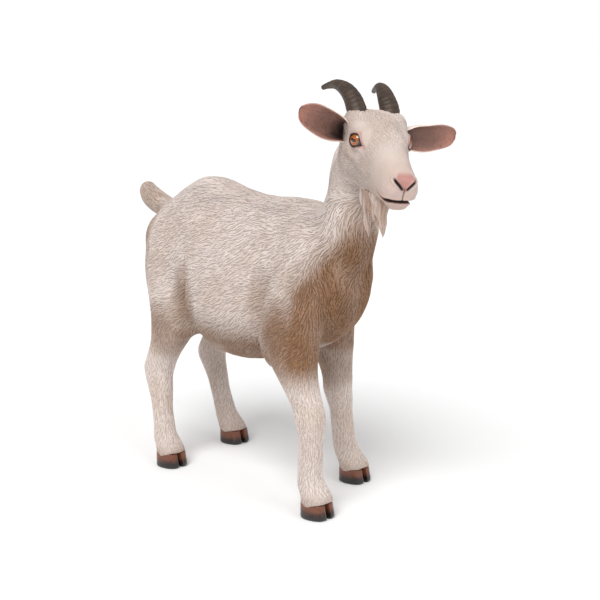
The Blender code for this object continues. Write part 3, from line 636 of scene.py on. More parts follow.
def painted_hair(colours):
    """Painted resin hair: cream with tan, grey and pink by the marks, darker in grooves by brown wash with
    painted shade, and by strand.
    """
    paint = Paint("painted_hair")
    split = paint.add("ShaderNodeSeparateColor")
    spot = paint.add("ShaderNodeAttribute", attribute_name="marks")
    paint.feed(split.inputs[0], spot.outputs["Color"])
    tan, grey, pink = split.outputs
    soot = spot.outputs["Alpha"]
    groove = paint.attribute("groove")
    tone = paint.attribute("tone")
    cloud = paint.noise(16.0)
    grain = paint.noise(260.0, 3.0)
    colour = paint.mix(paint.ramp(cloud, 0.35, 0.68), colours.cream, colours.cream_warm)
    colour = paint.mix(paint.times(grey, paint.plus(paint.times(tone, 0.7), 0.35)),
                       colour, colours.grey)
    colour = paint.mix(paint.times(tan, paint.plus(paint.times(grain, 0.5), 0.72)),
                       colour, colours.tan)
    # painted shade with the statue's brown wash: darker down in the grooves and at the strands' feet
    wash_and_shade_colour = paint.mix(tan, colours.groove, colours.groove_tan)
    colour = paint.mix(paint.times(groove, 0.80), colour, wash_and_shade_colour)
    colour = paint.mix(pink, colour, colours.pink)
    colour = paint.mix(paint.times(paint.ramp(grain, 0.62, 0.78), 0.10), colour, (0.10, 0.08, 0.07))
    # near black: the lid rims, and painted shade in nostrils, mouth line and philtrum
    colour = paint.mix(soot, colour, colours.soot)
    gloss = paint.times(paint.ramp(pink, 0.80, 1.0), -0.26)
    rough = paint.plus(paint.plus(0.52, paint.times(grain, 0.12)), gloss)
    paint.bump(paint.plus(paint.noise(420.0, 3.0), paint.times(paint.noise(120.0), 0.6)), 0.0006)
    return paint.finish(colour, rough)


def material(make):
    """The material that a function makes, made once and named as the function is."""
    return bpy.data.materials.get(make.__name__) or make(bpy.context.scene.goat_colours)


# ---------------------------------------------------------------- coat

def onto(skin, points):
    """Nearest places on the skin and its normals there, from two shrinkwraps 4 mm apart."""
    found = []
    for offset in (0.0, 0.004):
        mesh = bpy.data.meshes.new("probe")
        mesh.vertices.add(len(points))
        mesh.vertices.foreach_set("co", points.astype(np.float32).ravel())
        probe = add_object("probe", mesh)
        wrap = probe.modifiers.new("wrap", "SHRINKWRAP")
        wrap.target = skin
        wrap.wrap_mode = "ABOVE_SURFACE"
        wrap.offset = offset
        settle(probe)
        found.append(read(probe.data.vertices, "co").astype(float))
        bpy.data.objects.remove(probe)
    return found[0], unit(found[1] - found[0])


def lie(points, normals):
    """Way the hair lies: a blend of one way per region, turned in the surface by two waves."""
    x, y, z = points.T
    local = to_head(points)
    side = np.where(x < 0.0, -1.0, 1.0)
    zero = np.zeros(len(points))

    def way(first, second, third):
        return np.stack(np.broadcast_arrays(first, second, third), axis=1).astype(float)

    flank = way(side * 0.05, 0.90, -0.42 - 0.5 * ramp(z, 0.60, 0.40) * ramp(y, -0.05, -0.20))
    leg = way(zero, 0.10, -1.0)
    neck = way(side * 0.12 * ramp(z, 0.60, 0.45), 0.36, -0.93)
    tail = way(zero, 0.72, 0.62)
    brow = (HEAD_AXES @ np.array([[0.0], [0.85], [-0.15]])).T
    cheek = way(side * 0.5, 0.86, -0.55) @ HEAD_AXES.T
    head = brow + (cheek - brow) * ramp(local[:, 2], 0.012, -0.02)[:, None]
    total = flank
    for weight, other in ((ramp(z, 0.345, 0.270), leg), (ramp(y, -0.150, -0.205) * ramp(z, 0.34, 0.42), neck),
                          (ramp(y, 0.338, 0.356) * ramp(z, 0.48, 0.52), tail),
                          (ramp(local[:, 1], 0.105, 0.075) * ramp(z, 0.59, 0.62), head)):
        total = total * (1.0 - weight[:, None]) + other * weight[:, None]
    flat = unit(total - normals * np.sum(total * normals, axis=1, keepdims=True))
    swing = 0.42 * waves(points, 0.115, 11) + 0.30 * waves(points, 0.045, 12)
    swing *= 0.55 + 0.75 * ramp(y, -0.08, -0.20) * ramp(z, 0.30, 0.40)
    across = np.cross(normals, flat)
    return flat * np.cos(swing)[:, None] + across * np.sin(swing)[:, None]


def coat_sizes(points):
    """Length, width and height of the strand at each place, and the distance between roots."""
    y, z = points[:, 1], points[:, 2]
    local = to_head(points)
    table = np.array([[0.0190, 0.0040, 0.0017, 0.0052], [0.0240, 0.0040, 0.0021, 0.0054],
                      [0.0125, 0.0029, 0.0011, 0.0043], [0.0085, 0.0021, 0.0009, 0.0031]])
    neck = ramp(y, -0.140, -0.200) * ramp(z, 0.34, 0.40)
    leg = ramp(z, 0.320, 0.260)
    head = ramp(local[:, 1], 0.115, 0.085) * ramp(z, 0.60, 0.63)
    total = np.tile(table[0], (len(points), 1))
    for weight, row in ((neck, 1), (leg, 2), (head, 3)):
        total += (table[row] - total) * weight[:, None]
    low = ramp(z, 0.310, 0.275) * ramp(z, 0.235, 0.262) * (y > -0.12) * (y < 0.17)
    total[:, 0] *= 1.0 + 0.5 * low
    total[:, 2] *= 1.0 + 0.5 * low
    total[:, :3] *= 1.0 - 0.45 * ramp(z, 0.075, 0.035)[:, None]
    fading = head * smooth_face(points)
    total[:, :3] *= 1.0 - fading[:, None] * [0.30, 0.35, 0.62]
    return total


def smooth_face(points):
    """How far the hair has died away: towards the muzzle and the eyes."""
    local = to_head(points)
    fading = np.maximum(ramp(local[:, 1], -0.015, -0.095), 0.9 * ramp(lid_place(local)[0], 0.040, 0.027))
    return fading * (local[:, 1] < 0.1) * (points[:, 2] > 0.6)


def bare(points):
    """Where no strand grows: muzzle, lids, lips, ear holes and the soles."""
    local = to_head(points)
    face = mirrored(local)
    reach, outside = lid_place(local)[::3]
    none = (local[:, 1] < -0.098 + 0.5 * np.maximum(-local[:, 2] - 0.030, 0.0)) & (points[:, 2] > 0.6)
    none |= (reach < 0.031) & (outside < 0.75)
    none |= np.linalg.norm(face - np.array([0.047, 0.050, 0.000]), axis=1) < 0.015
    none |= np.linalg.norm(face - np.array([0.029, 0.058, 0.034]), axis=1) < 0.019
    return none | (points[:, 2] < 0.033)


def sow(skin, seed):
    """Roots spread evenly over the skin: random places by area, one kept per small cube."""
    draw = np.random.default_rng(seed)
    mesh = skin.data
    mesh.calc_loop_triangles()
    corners = read(mesh.vertices, "co").astype(float)[read(mesh.loop_triangles, "vertices", 3, np.int32)]
    edges = corners[:, 1:] - corners[:, :1]
    area = np.linalg.norm(np.cross(edges[:, 0], edges[:, 1]), axis=1) / 2.0
    size = coat_sizes(corners.mean(axis=1))[:, 3]
    chance = area / size ** 2
    count = int(chance.sum() * 4.0)
    pick = draw.choice(len(corners), count, p=chance / chance.sum())
    mixed = draw.dirichlet((1.0, 1.0, 1.0), count)
    points = np.einsum("ij,ijk->ik", mixed, corners[pick])
    points = points[~bare(points)]
    size = coat_sizes(points)[:, 3]
    step = np.round(size / 0.0003).astype(np.int64)
    cell = np.floor(points / (step * 0.0003)[:, None]).astype(np.int64) + 4000
    key = ((cell[:, 0] * 8192 + cell[:, 1]) * 8192 + cell[:, 2]) * 64 + step
    order = draw.permutation(len(points))
    first = np.unique(key[order], return_index=True)[1]
    return points[order[first]]


STRAND_WIDTHS = np.array([0.55, 1.0, 0.90, 0.55])
STRAND_HEIGHTS = np.array([-0.25, 1.0, 0.95, 0.60])


def walk_strands(skin, roots, seed):
    """Spines walked over the skin along the lie: places, normals and ways at the steps of each length."""
    draw = np.random.default_rng(seed)
    sizes = coat_sizes(roots)
    sizes[:, 0] *= draw.uniform(0.75, 1.25, len(roots))
    sizes[:, 1] *= draw.uniform(0.80, 1.20, len(roots))
    place, normal = onto(skin, roots)
    ahead = lie(place, normal)
    bend = draw.normal(0.0, 0.16, len(roots))
    spine = []
    for share in (0.22, 0.28, 0.28, 0.22):
        spine.append((place, normal, ahead))
        place, normal = onto(skin, place + ahead * (share * sizes[:, :1]))
        ahead = lie(place, normal)
        ahead = unit(ahead + np.cross(normal, ahead) * bend[:, None])
        bend = bend - 0.5 * bend
    spine.append((place, normal, ahead))
    return spine, sizes


STRAND_POINTS = 13      # three on each of four rings, and the tip
FOOT_DEPTH = 0.00045    # of a strand's feet in the skin
SWAY = 0.13             # of the width, growing with it between SWAY_WIDTHS
SWAY_WIDTHS = (0.0018, 0.0034)
# darkness painted at each point of a strand: brown wash with painted shade, most at the feet and root, none on
# the ridge
STRAND_GROOVE_WASH_AND_SHADE = np.array([1.0, 0.8, 1.0] + [0.95, 0.0, 0.95] * 3 + [0.35])
STRAND_CHART = np.array([(-1, 0), (0, 0), (1, 0), (-1, 1), (0, 1), (1, 1), (-1, 2), (0, 2), (1, 2),
                         (-1, 3), (0, 3), (1, 3), (0, 4)], float) * [0.0015, 0.00075]


def strand_faces():
    """Triangles of one strand: a root, three sides from ring to ring, and the tip."""
    faces = [(0, 1, 2)]
    for ring in range(3):
        for first, second in ((0, 1), (1, 2), (2, 0)):
            a, b = 3 * ring + first, 3 * ring + second
            faces += [(b, a, a + 3), (b, a + 3, b + 3)]
    return np.array(faces + [(10, 9, 12), (11, 10, 12), (9, 11, 12)])


def coat_mesh(name, spine, sizes, chart, seed):
    """Closed three-sided strands: left foot, ridge and right foot on four rings, then a low tip."""
    draw = np.random.default_rng(seed)
    count = len(sizes)
    phase = draw.uniform(0.0, ROUND, count)
    points = np.empty((count, STRAND_POINTS, 3))
    swing = SWAY * sizes[:, 1] * ramp(sizes[:, 1], *SWAY_WIDTHS)
    for ring in range(4):
        place, normal, ahead = spine[ring]
        across = np.cross(normal, ahead)
        half = (0.5 * STRAND_WIDTHS[ring] * sizes[:, 1])[:, None]
        rise = (STRAND_HEIGHTS[ring] * sizes[:, 2])[:, None]
        centre = place + (swing * np.sin(phase + 2.3 * ring))[:, None] * across
        points[:, 3 * ring] = centre + across * half - normal * FOOT_DEPTH
        points[:, 3 * ring + 1] = centre + normal * rise
        points[:, 3 * ring + 2] = centre - across * half - normal * FOOT_DEPTH
    points[:, -1] = spine[4][0] + spine[4][1] * (0.10 * sizes[:, 2])[:, None]
    points = points.reshape(-1, 3)
    mesh = mesh_from(name, points, copies(strand_faces(), count, STRAND_POINTS))
    root = spine[0][0]
    roots = np.repeat(root, STRAND_POINTS, axis=0)
    tone = np.repeat(draw.uniform(0.0, 1.0, count), STRAND_POINTS)
    keep_marks(mesh, marks(0.5 * roots + 0.5 * points), np.tile(STRAND_GROOVE_WASH_AND_SHADE, count), tone)
    keep_chart(mesh, np.repeat(chart(root), STRAND_POINTS, axis=0) + np.tile(STRAND_CHART, (count, 1)))
    return add_object(name, mesh)


def around(points, middle, first, second, along, low, high):
    """Unwrap round an axis: the turn about it and the place along it, both from 0 to 1."""
    off = points - middle
    turn = np.arctan2(off @ np.array(first), off @ np.array(second)) / (2.0 * math.pi) + 0.5
    rise = (off @ np.array(along) - low) / (high - low)
    return np.stack([0.004 + 0.99 * turn, 0.004 + 0.99 * rise], axis=1)


def chart_trunk(points):
    """Round the trunk's long axis."""
    return around(points, np.array([0.0, 0.0, 0.43]), (1, 0, 0), (0, 0, 1), (0, 1, 0), -0.30, 0.44)


def chart_neck(points):
    """Round the neck's axis."""
    middle = np.array([0.0, -0.21, 0.5])
    return around(points, middle, (1, 0, 0), (0, 0.93, 0.37), (0, -0.37, 0.93), -0.25, 0.30)


def chart_head(points):
    """Round the level head's long axis."""
    local = to_head(points)
    return around(local, np.array([0.0, 0.0, -0.025]), (1, 0, 0), (0, 0, -1), (0, 1, 0), -0.15, 0.22)


def chart_legs(points):
    """Round each leg's upright axis, the right leg in the left half of the map."""
    right = points[:, 0] < 0.0
    middles = points[right].mean(axis=0), points[~right].mean(axis=0)
    middle = np.where(right[:, None], *middles) * [1, 1, 0]
    spread = around(points, middle, (1, 0, 0), (0, 1, 0), (0, 0, 1), 0.0, 0.36)
    return spread * [0.49, 1.0] + np.where(right[:, None], [[0.0, 0.0]], [[0.5, 0.0]])


def coat_parts(roots):
    """Which piece of the coat each root belongs to."""
    local = to_head(roots)
    x, y, z = roots.T
    head = (local[:, 1] < 0.100) & (z > 0.60)
    leg = (z < 0.300) & ((y < -0.06) | (y > 0.135)) & (np.abs(x) > 0.02)
    neck = (y < -0.165) & ~head & ~leg
    trunk = ~(head | leg | neck)
    return (("coat_head", head, chart_head), ("coat_neck", neck, chart_neck),
            ("coat_side_right", trunk & (x < 0.0) & (y < 0.1), chart_trunk),
            ("coat_side_left", trunk & (x >= 0.0) & (y < 0.1), chart_trunk),
            ("coat_rump_right", trunk & (x < 0.0) & (y >= 0.1), chart_trunk),
            ("coat_rump_left", trunk & (x >= 0.0) & (y >= 0.1), chart_trunk),
            ("coat_forelegs", leg & (y < 0.0), chart_legs),
            ("coat_hindlegs", leg & (y >= 0.0), chart_legs))


def build_coat(skin, seed):
    """Sow, walk and part the strands, and give each part its mesh."""
    roots = sow(skin, seed)
    spine, sizes = walk_strands(skin, roots, seed + 1)
    pieces = []
    for name, wanted, chart in coat_parts(roots):
        own = [[each[wanted] for each in level] for level in spine]
        pieces.append(coat_mesh(name, own, sizes[wanted], chart, seed + 2))
    return pieces


# ---------------------------------------------------------------- tubes and shells

def grid_faces(rows, columns, closed):
    """Quads of a grid of points, its columns joined in a ring where closed."""
    last = columns if closed else columns - 1
    row, column = np.meshgrid(np.arange(rows - 1), np.arange(last), indexing="ij")
    right = (column + 1) % columns
    return np.stack([row * columns + column, row * columns + right, (row + 1) * columns + right,
                     (row + 1) * columns + column], axis=-1).reshape(-1, 4)


def capped(name, rings):
    """A closed mesh from rings of points: quads between them, and a fan of flat quads at both ends."""
    rows, columns = rings.shape[:2]
    faces = grid_faces(rows, columns, True)
    ends = rings[[0, -1]].mean(axis=1)
    points = np.concatenate([rings.reshape(-1, 3), ends])
    around_ring = np.arange(columns)
    following = (around_ring + 1) % columns
    first, last = rows * columns, rows * columns + 1
    top = (rows - 1) * columns
    low = np.stack([following, around_ring, np.full(columns, first)], axis=1)
    high = np.stack([top + around_ring, top + following, np.full(columns, last)], axis=1)
    triangles = np.concatenate([faces[:, [0, 1, 2]], faces[:, [0, 2, 3]], low, high])
    mesh = mesh_from(name, points, triangles)
    work = bmesh.new()
    work.from_mesh(mesh)
    bmesh.ops.recalc_face_normals(work, faces=work.faces)
    work.to_mesh(mesh)
    work.free()
    mesh.shade_smooth()
    return mesh


def along_path(path, rows):
    """Even stations on a smooth line through a table of numbers."""
    path = np.array(path, float)
    share = np.linspace(0.0, len(path) - 1.0, rows)
    low = np.clip(share.astype(int), 0, len(path) - 2)
    t = (share - low)[:, None]
    before, here = path[np.clip(low - 1, 0, None)], path[low]
    after, beyond = path[low + 1], path[np.clip(low + 2, None, len(path) - 1)]
    bend = 2.0 * before - 5.0 * here + 4.0 * after - beyond
    twist = 3.0 * here - before - 3.0 * after + beyond
    return 0.5 * (2.0 * here + (after - before) * t + bend * t ** 2 + twist * t ** 3)


# horn of the level head's left side: x, y, z, radius
HORN = ((0.0280, 0.0420, 0.0150, 0.0182), (0.0290, 0.0460, 0.0240, 0.0180), (0.0324, 0.0660, 0.0384, 0.0178),
        (0.0335, 0.0890, 0.0480, 0.0163), (0.0370, 0.1190, 0.0530, 0.0135), (0.0423, 0.1530, 0.0495, 0.0095),
        (0.0474, 0.1810, 0.0370, 0.0062), (0.0515, 0.1990, 0.0255, 0.0045))


def horn_mesh(name, side):
    """A tapering sweep with growth rings: r (1 + 0.03 sin(rings) + noise), closed by a round tip."""
    rows = along_path(HORN, 120)
    centre = rows[:, :3] * [side, 1.0, 1.0]
    way = unit(np.gradient(centre, axis=0))
    first = unit(np.cross(way, [1.0, 0.0, 0.0]))
    second = np.cross(way, first)
    turn = np.linspace(0.0, 2.0 * math.pi, 40, endpoint=False)
    share = np.linspace(0.0, 1.0, 120)
    cap = np.sqrt(np.clip(1.0 - ((share - 0.972) / 0.028).clip(0.0) ** 2, 0.0, 1.0))
    cap[-1] = 0.06
    ring = np.cos(turn)[None, :, None] * first[:, None] + np.sin(turn)[None, :, None] * second[:, None]
    wobble = 0.9 * np.sin(turn + 2.0)[None] + 0.5 * np.sin(3.0 * turn + 1.0)[None]
    beat = np.sin(2.0 * math.pi * 19.0 * share[:, None] ** 0.85 + wobble)
    swell = 1.0 + (0.030 * beat - 0.018 * beat ** 4) * (1.0 - 0.75 * share[:, None])
    swell = swell + 0.014 * np.sin(9.0 * turn + 0.7)[None] * (1.0 - share[:, None])
    points = centre[:, None] + ring * (rows[:, 3] * cap)[:, None, None] * swell[..., None]
    mesh = capped(name, from_head(points.reshape(-1, 3)).reshape(120, 40, 3))
    # painted shade: 1 in the valleys between the rings, 0 on their crests
    valley = np.concatenate([(0.5 - 0.5 * beat).ravel(), [0.5, 0.5]])
    keep(mesh, groove=valley)
    return mesh


EAR_ROOT = np.array([0.045, 0.060, -0.002])
EAR_WAYS = {"right": np.array([-0.90, -0.26, 0.400]), "left": np.array([0.95, -0.21, 0.105])}
EAR_OPENS = np.array([0.0, -0.98, -0.12])
EAR_LENGTH = 0.1165
EAR_ROWS = 90
EAR_POINTS = 64         # in each row, inside and outside together
# share of the length, half width, degrees wrapped
EAR = ((0.00, 0.0145, 128), (0.16, 0.0180, 108), (0.34, 0.0253, 82), (0.56, 0.0278, 62), (0.78, 0.0253, 50),
       (0.93, 0.0182, 42), (1.00, 0.0070, 36))


def ear_mesh(name, word):
    """A leaf-shaped shell, rolled at the root: inner and outer face meet in a rounded rim."""
    side = -1.0 if word == "right" else 1.0
    ahead = unit(EAR_WAYS[word])
    opens = unit(EAR_OPENS - ahead * (EAR_OPENS @ ahead))
    wide = np.cross(ahead, opens)
    rows = along_path(EAR, EAR_ROWS)
    share, half, wrap = rows[:, 0], np.maximum(rows[:, 1], 0.003), np.radians(rows[:, 2])
    radius = half / np.sin(np.minimum(wrap, math.pi / 2.0))
    loop = np.linspace(0.0, 2.0 * math.pi, EAR_POINTS, endpoint=False)
    span = np.sin(np.clip(np.abs(((loop / math.pi) % 2.0) - 1.0) * 2.0 - 1.0, -1, 1) * math.pi / 2.0)
    inner = loop < math.pi
    edge = np.sqrt(np.clip(1.0 - np.abs(span) ** 8, 0.0, 1.0))
    tip = np.sqrt(np.clip((1.0 - share) / 0.035, 0.02, 1))
    thick = 0.5 * (0.0046 - 0.0016 * share) * np.where(share > 0.965, tip, 1)
    share, wrap, radius, thick = (each[:, None] for each in (share, wrap, radius, thick))
    t = span * wrap
    vein = 0.0005 * np.sin(span * 21.0 + 1.5 * np.sin(share * 9.0)) * inner * ramp(share, 0.05, 0.3)
    wave = 0.0016 * np.sin(share * 13.0 + 1.0) * np.abs(span) ** 3 * ramp(share, 0.1, 0.4)
    reach = radius + np.where(inner, -1.0, 1.0) * edge * thick - vein
    rise = radius - reach * np.cos(t) + wave - 0.0024 * share ** 2
    points = (EAR_ROOT * [side, 1, 1] + ahead * (share * EAR_LENGTH)[..., None]
              + wide * (reach * np.sin(t))[..., None] + opens * rise[..., None])
    mesh = capped(name, from_head(points.reshape(-1, 3)).reshape(points.shape))
    even = np.ones((EAR_ROWS, EAR_POINTS))
    masks = {"along": (share, (0.0, 1.0)),
             "hollow": (inner * edge, (0.0, 0.0)),
             "rim": (np.abs(span) ** 4, (0.0, 1.0))}
    keep(mesh, **{mask: np.append(values * even, ends) for mask, (values, ends) in masks.items()})
    return mesh


CLAW_LENGTH = 0.058
CLAW_WIDTH = 0.0350
CLEFT = 0.0055
GAP = 0.0003
CLAW_ROWS = 34
# height, share of the length, share of the width, shift
CLAW = ((0.0000, 0.900, 0.900, 0.001), (0.0012, 0.955, 0.955, 0.001), (0.0040, 1.000, 1.000, 0.000),
        (0.0100, 0.990, 0.998, 0.000), (0.0160, 0.965, 0.990, 0.001), (0.0260, 0.925, 0.975, 0.002),
        (0.0300, 0.905, 0.965, 0.0025))


def claw_mesh(node, side):
    """Level sections: outer wall as sin(t)^0.72 with faint rings, and a wall along the cleft."""
    low, high = (np.array(corner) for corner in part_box(node))
    middle = np.array([(low[0] if side > 0 else high[0]) - side * GAP, (low[1] + high[1]) / 2.0])
    rows = along_path(CLAW, CLAW_ROWS)
    turn = np.linspace(0.0, math.pi, 36)
    outer = -np.cos(turn)
    inner = outer[-2:0:-1]
    z, length, width, shift = rows.T[:, :, None]
    ring = 0.00028 * np.sin(z * 1500.0 + 1.2 * outer) * ramp(z, 0.003, 0.008)
    gap_out, gap_in = (CLEFT * ((1.0 - each) / 2.0) ** 3 + GAP for each in (outer, inner))
    wall = width * CLAW_WIDTH * np.sin(turn) ** 0.72 * (0.84 + 0.16 * outer) + ring * np.sin(turn)
    across = np.concatenate([gap_out + wall, np.broadcast_to(gap_in, (CLAW_ROWS, len(inner)))], axis=1)
    along = np.concatenate([outer, inner])[None] * length * CLAW_LENGTH / 2.0 + shift
    height = np.broadcast_to(z, across.shape)
    points = np.stack([middle[0] + side * across, middle[1] + along, height], axis=-1)
    return capped(node.replace("claw", "hoof"), points)


POLES = [0.0, 3.0]      # turn from the gaze at the front and the back of the ball
POLE_TURN = 0.001       # of the first and last ring from their pole


def eye_mesh(name, side):
    """A ball whose pole looks out of the opening, storing each point's turn from the gaze."""
    look, front, up = eye_axes()
    theta = np.linspace(POLE_TURN, math.pi - POLE_TURN, 60)[:, None]
    phi = np.linspace(0.0, 2.0 * math.pi, 72, endpoint=False)[None]
    a, b, c = np.sin(theta) * np.cos(phi), np.sin(theta) * np.sin(phi), np.cos(theta) * np.ones_like(phi)
    way = front * a[..., None] + up * b[..., None] + look * c[..., None]
    bulge = EYE_BALL * (1.0 + 0.045 * bell(theta, 0.42))
    points = (EYE_CENTRE + way * bulge[..., None]) * [side, 1, 1]
    mesh = capped(name, from_head(points.reshape(-1, 3)).reshape(points.shape))
    cos, sin = math.cos(LID_SLANT), math.sin(LID_SLANT)
    across, rise = (np.append(np.arctan2(each, c), POLES) for each in (a * cos + b * sin, b * cos - a * sin))
    keep(mesh, gaze_across=across, gaze_up=rise)
    return mesh


# locks of the beard, on the level head: x, y, z of the root, length, half width
BEARD = ((-0.006, 0.000, -0.084, 0.090, 0.0100), (0.005, -0.020, -0.082, 0.072, 0.0100),
         (-0.010, -0.036, -0.080, 0.050, 0.0090), (-0.003, -0.060, -0.074, 0.072, 0.0090),
         (-0.005, -0.048, -0.078, 0.049, 0.0090), (0.004, 0.020, -0.084, 0.057, 0.0100))
LOCK_RINGS = 22
LOCK_POINTS = 10
LOCK_SPREAD = 0.785     # turn from one lock of a clump to the next
LOCK_SIZE = 0.0062      # radius at the root, without the ribs
LOCK_START = 0.006      # how far above the table's place a lock starts


def lock_faces():
    """Triangles of one lock: the tube, then fans to the two end points stored after it."""
    tube = grid_faces(LOCK_RINGS, LOCK_POINTS, True)
    last = LOCK_RINGS * LOCK_POINTS
    here = np.arange(LOCK_POINTS)
    after = (here + 1) % LOCK_POINTS
    rear = last - LOCK_POINTS
    return np.concatenate([tube[:, [0, 1, 2]], tube[:, [0, 2, 3]],
                           np.stack([after, here, np.full(LOCK_POINTS, last)], 1),
                           np.stack([rear + here, rear + after, np.full(LOCK_POINTS, last + 1)], 1)])[:, ::-1]


def beard_mesh(seed):
    """Tapering wavy locks: seven round each place of the table, and a longer one in their middle."""
    draw = np.random.default_rng(seed)
    share = np.linspace(0.0, 1.0, LOCK_RINGS)
    turn = np.linspace(0.0, 2.0 * math.pi, LOCK_POINTS, endpoint=False)
    ring = np.stack([np.cos(turn), np.sin(turn), 0.0 * turn], axis=1)
    close = (1.25 - 0.95 * share ** 1.3)[:, None]
    size = LOCK_SIZE * (1.0 - share ** 1.9) ** 0.8 + 0.0005
    points, valley, tone = [], [], []
    for x, y, z, length, half in BEARD:
        start = from_head(np.array([[x, y, z]]))[0] + [0.0, 0.0, LOCK_START]
        for number in range(8):
            middle = number == 7
            angle = number * LOCK_SPREAD + draw.uniform(-0.3, 0.3)
            spread = np.array([math.cos(angle) * half, math.sin(angle) * half, 0.0])
            spread *= 0.0 if middle else 0.85
            reach = (length + LOCK_START) * (1.0 if middle else draw.uniform(0.70, 0.97))
            phase = draw.uniform(0.0, ROUND, 2)
            sway = np.sin(share[:, None] * [11.0, 10.0, 0.0] + [*phase, 0.0])
            lean = np.stack([-0.003 * share ** 2, -0.006 * share ** 2, -reach * share], axis=1)
            sway *= (0.0040 * share * (1.2 - share))[:, None]
            centre = start + spread * close + lean + sway
            ribs = np.cos(3.0 * turn[None] + phase[0] + 3.0 * share[:, None])
            radius = size[:, None] * (1.0 + 0.16 * ribs)
            points.append(centre[:, None] + ring[None] * radius[..., None])
            # brown wash with painted shade in the valleys between a lock's ribs, strongest near the chin
            valley.append((0.5 - 0.5 * ribs) * (0.4 + 0.6 * (1 - share[:, None])))
            tone.append(np.full((LOCK_RINGS, LOCK_POINTS), draw.uniform(0.0, 1.0)))
    points = np.array(points)
    count = len(points)
    ends = points[:, [0, -1]].mean(axis=2)
    every = np.concatenate([points.reshape(count, -1, 3), ends], axis=1)
    each = every.shape[1]
    mesh = mesh_from("beard_locks", every.reshape(-1, 3), copies(lock_faces(), count, each))
    groove, tones = (np.pad(np.array(values).reshape(count, -1), ((0, 0), (0, 2)), constant_values=end).ravel()
                     for values, end in ((valley, 0.3), (tone, 0.5)))
    marked = np.zeros((len(groove), 4))
    marked[:, 2] = 0.10
    marked[:, 0] = 0.45 + 0.3 * np.repeat(waves(every[:, 0], 0.02, 9), each).clip(-1, 1)
    keep_marks(mesh, marked.clip(0, 1), groove, tones)
    corner = np.stack([np.tile(np.arange(LOCK_POINTS), LOCK_RINGS) / LOCK_POINTS,
                       np.repeat(share, LOCK_POINTS)], 1)
    corner = (np.concatenate([corner, [[0.5, 0.0], [0.5, 1.0]]]) - 0.5) * [0.9 / count, 0.9]
    root = np.stack([0.02 + 0.96 * (np.arange(count) + 0.5) / count, np.full(count, 0.5)], 1)
    keep_chart(mesh, np.repeat(root, each, axis=0) + np.tile(corner, (count, 1)))
    return mesh


# ---------------------------------------------------------------- materials of the fittings

def painted_horn(colours):
    """Dark brown horn: lighter streaks along it, and painted shade in the valleys between the growth rings."""
    paint = Paint("painted_horn")
    streak = paint.noise(60.0, 5.0)
    colour = paint.mix(paint.ramp(streak, 0.35, 0.70), colours.horn, colours.horn_light)
    # painted shade darkens the valleys between the rings
    ring = paint.times(paint.attribute("groove"), 0.45)
    colour = paint.mix(ring, colour, colours.horn_dark)
    paint.bump(paint.plus(paint.noise(330.0, 4.0), paint.times(streak, 0.7)), 0.0005)
    return paint.finish(colour, paint.plus(0.42, paint.times(streak, 0.2)))


def painted_ear(colours):
    """Cream outside, pink inside and along the rim, and painted shade near black down the hole."""
    paint = Paint("painted_ear")
    along, hollow, rim = (paint.attribute(name) for name in ("along", "hollow", "rim"))
    cloud = paint.noise(70.0)
    hair = paint.noise(240.0, 3.0)
    back = paint.mix(paint.ramp(hair, 0.30, 0.70), colours.cream_warm, colours.cream)
    back = paint.mix(paint.ramp(along, 0.55, 1.05), back, colours.pink)
    depth = paint.plus(along, paint.times(paint.math("SUBTRACT", cloud, 0.5), 0.35))
    # painted shade: near black deep in the ear, rising to the rose middle
    inside = paint.mix(paint.ramp(depth, 0.08, 0.46), colours.ear_deep, colours.ear_rose)
    inside = paint.mix(paint.ramp(depth, 0.58, 0.98), inside, colours.ear_tip)
    inside = paint.mix(paint.times(paint.ramp(rim, 0.15, 0.85), 0.75), inside, colours.ear_tip)
    # random darker hair streaks, in the colour of the hole's painted shade
    inside = paint.mix(paint.times(paint.ramp(hair, 0.50, 0.70), 0.28), inside, colours.ear_deep)
    colour = paint.mix(paint.ramp(hollow, 0.25, 0.75), back, inside)
    paint.bump(paint.plus(hair, paint.times(cloud, 0.6)), 0.0009)
    return paint.finish(colour, 0.50)


def painted_claw(colours):
    """Red-brown at the hair line, fading to glossy black below and towards the tip."""
    paint = Paint("painted_claw")
    split = paint.add("ShaderNodeSeparateXYZ")
    paint.feed(split.inputs[0], paint.place)
    cloud = paint.noise(90.0)
    height = paint.plus(split.outputs["Z"], paint.times(paint.math("SUBTRACT", cloud, 0.5), 0.016))
    colour = paint.mix(paint.ramp(height, 0.009, 0.024), colours.claw, colours.claw_red)
    colour = paint.mix(paint.times(paint.ramp(paint.noise(240.0), 0.5, 0.7), 0.35), colour,
                       colours.claw)
    paint.bump(paint.plus(cloud, paint.noise(380.0)), 0.0004)
    return paint.finish(colour, paint.plus(0.26, paint.times(cloud, 0.16)), 0.25)


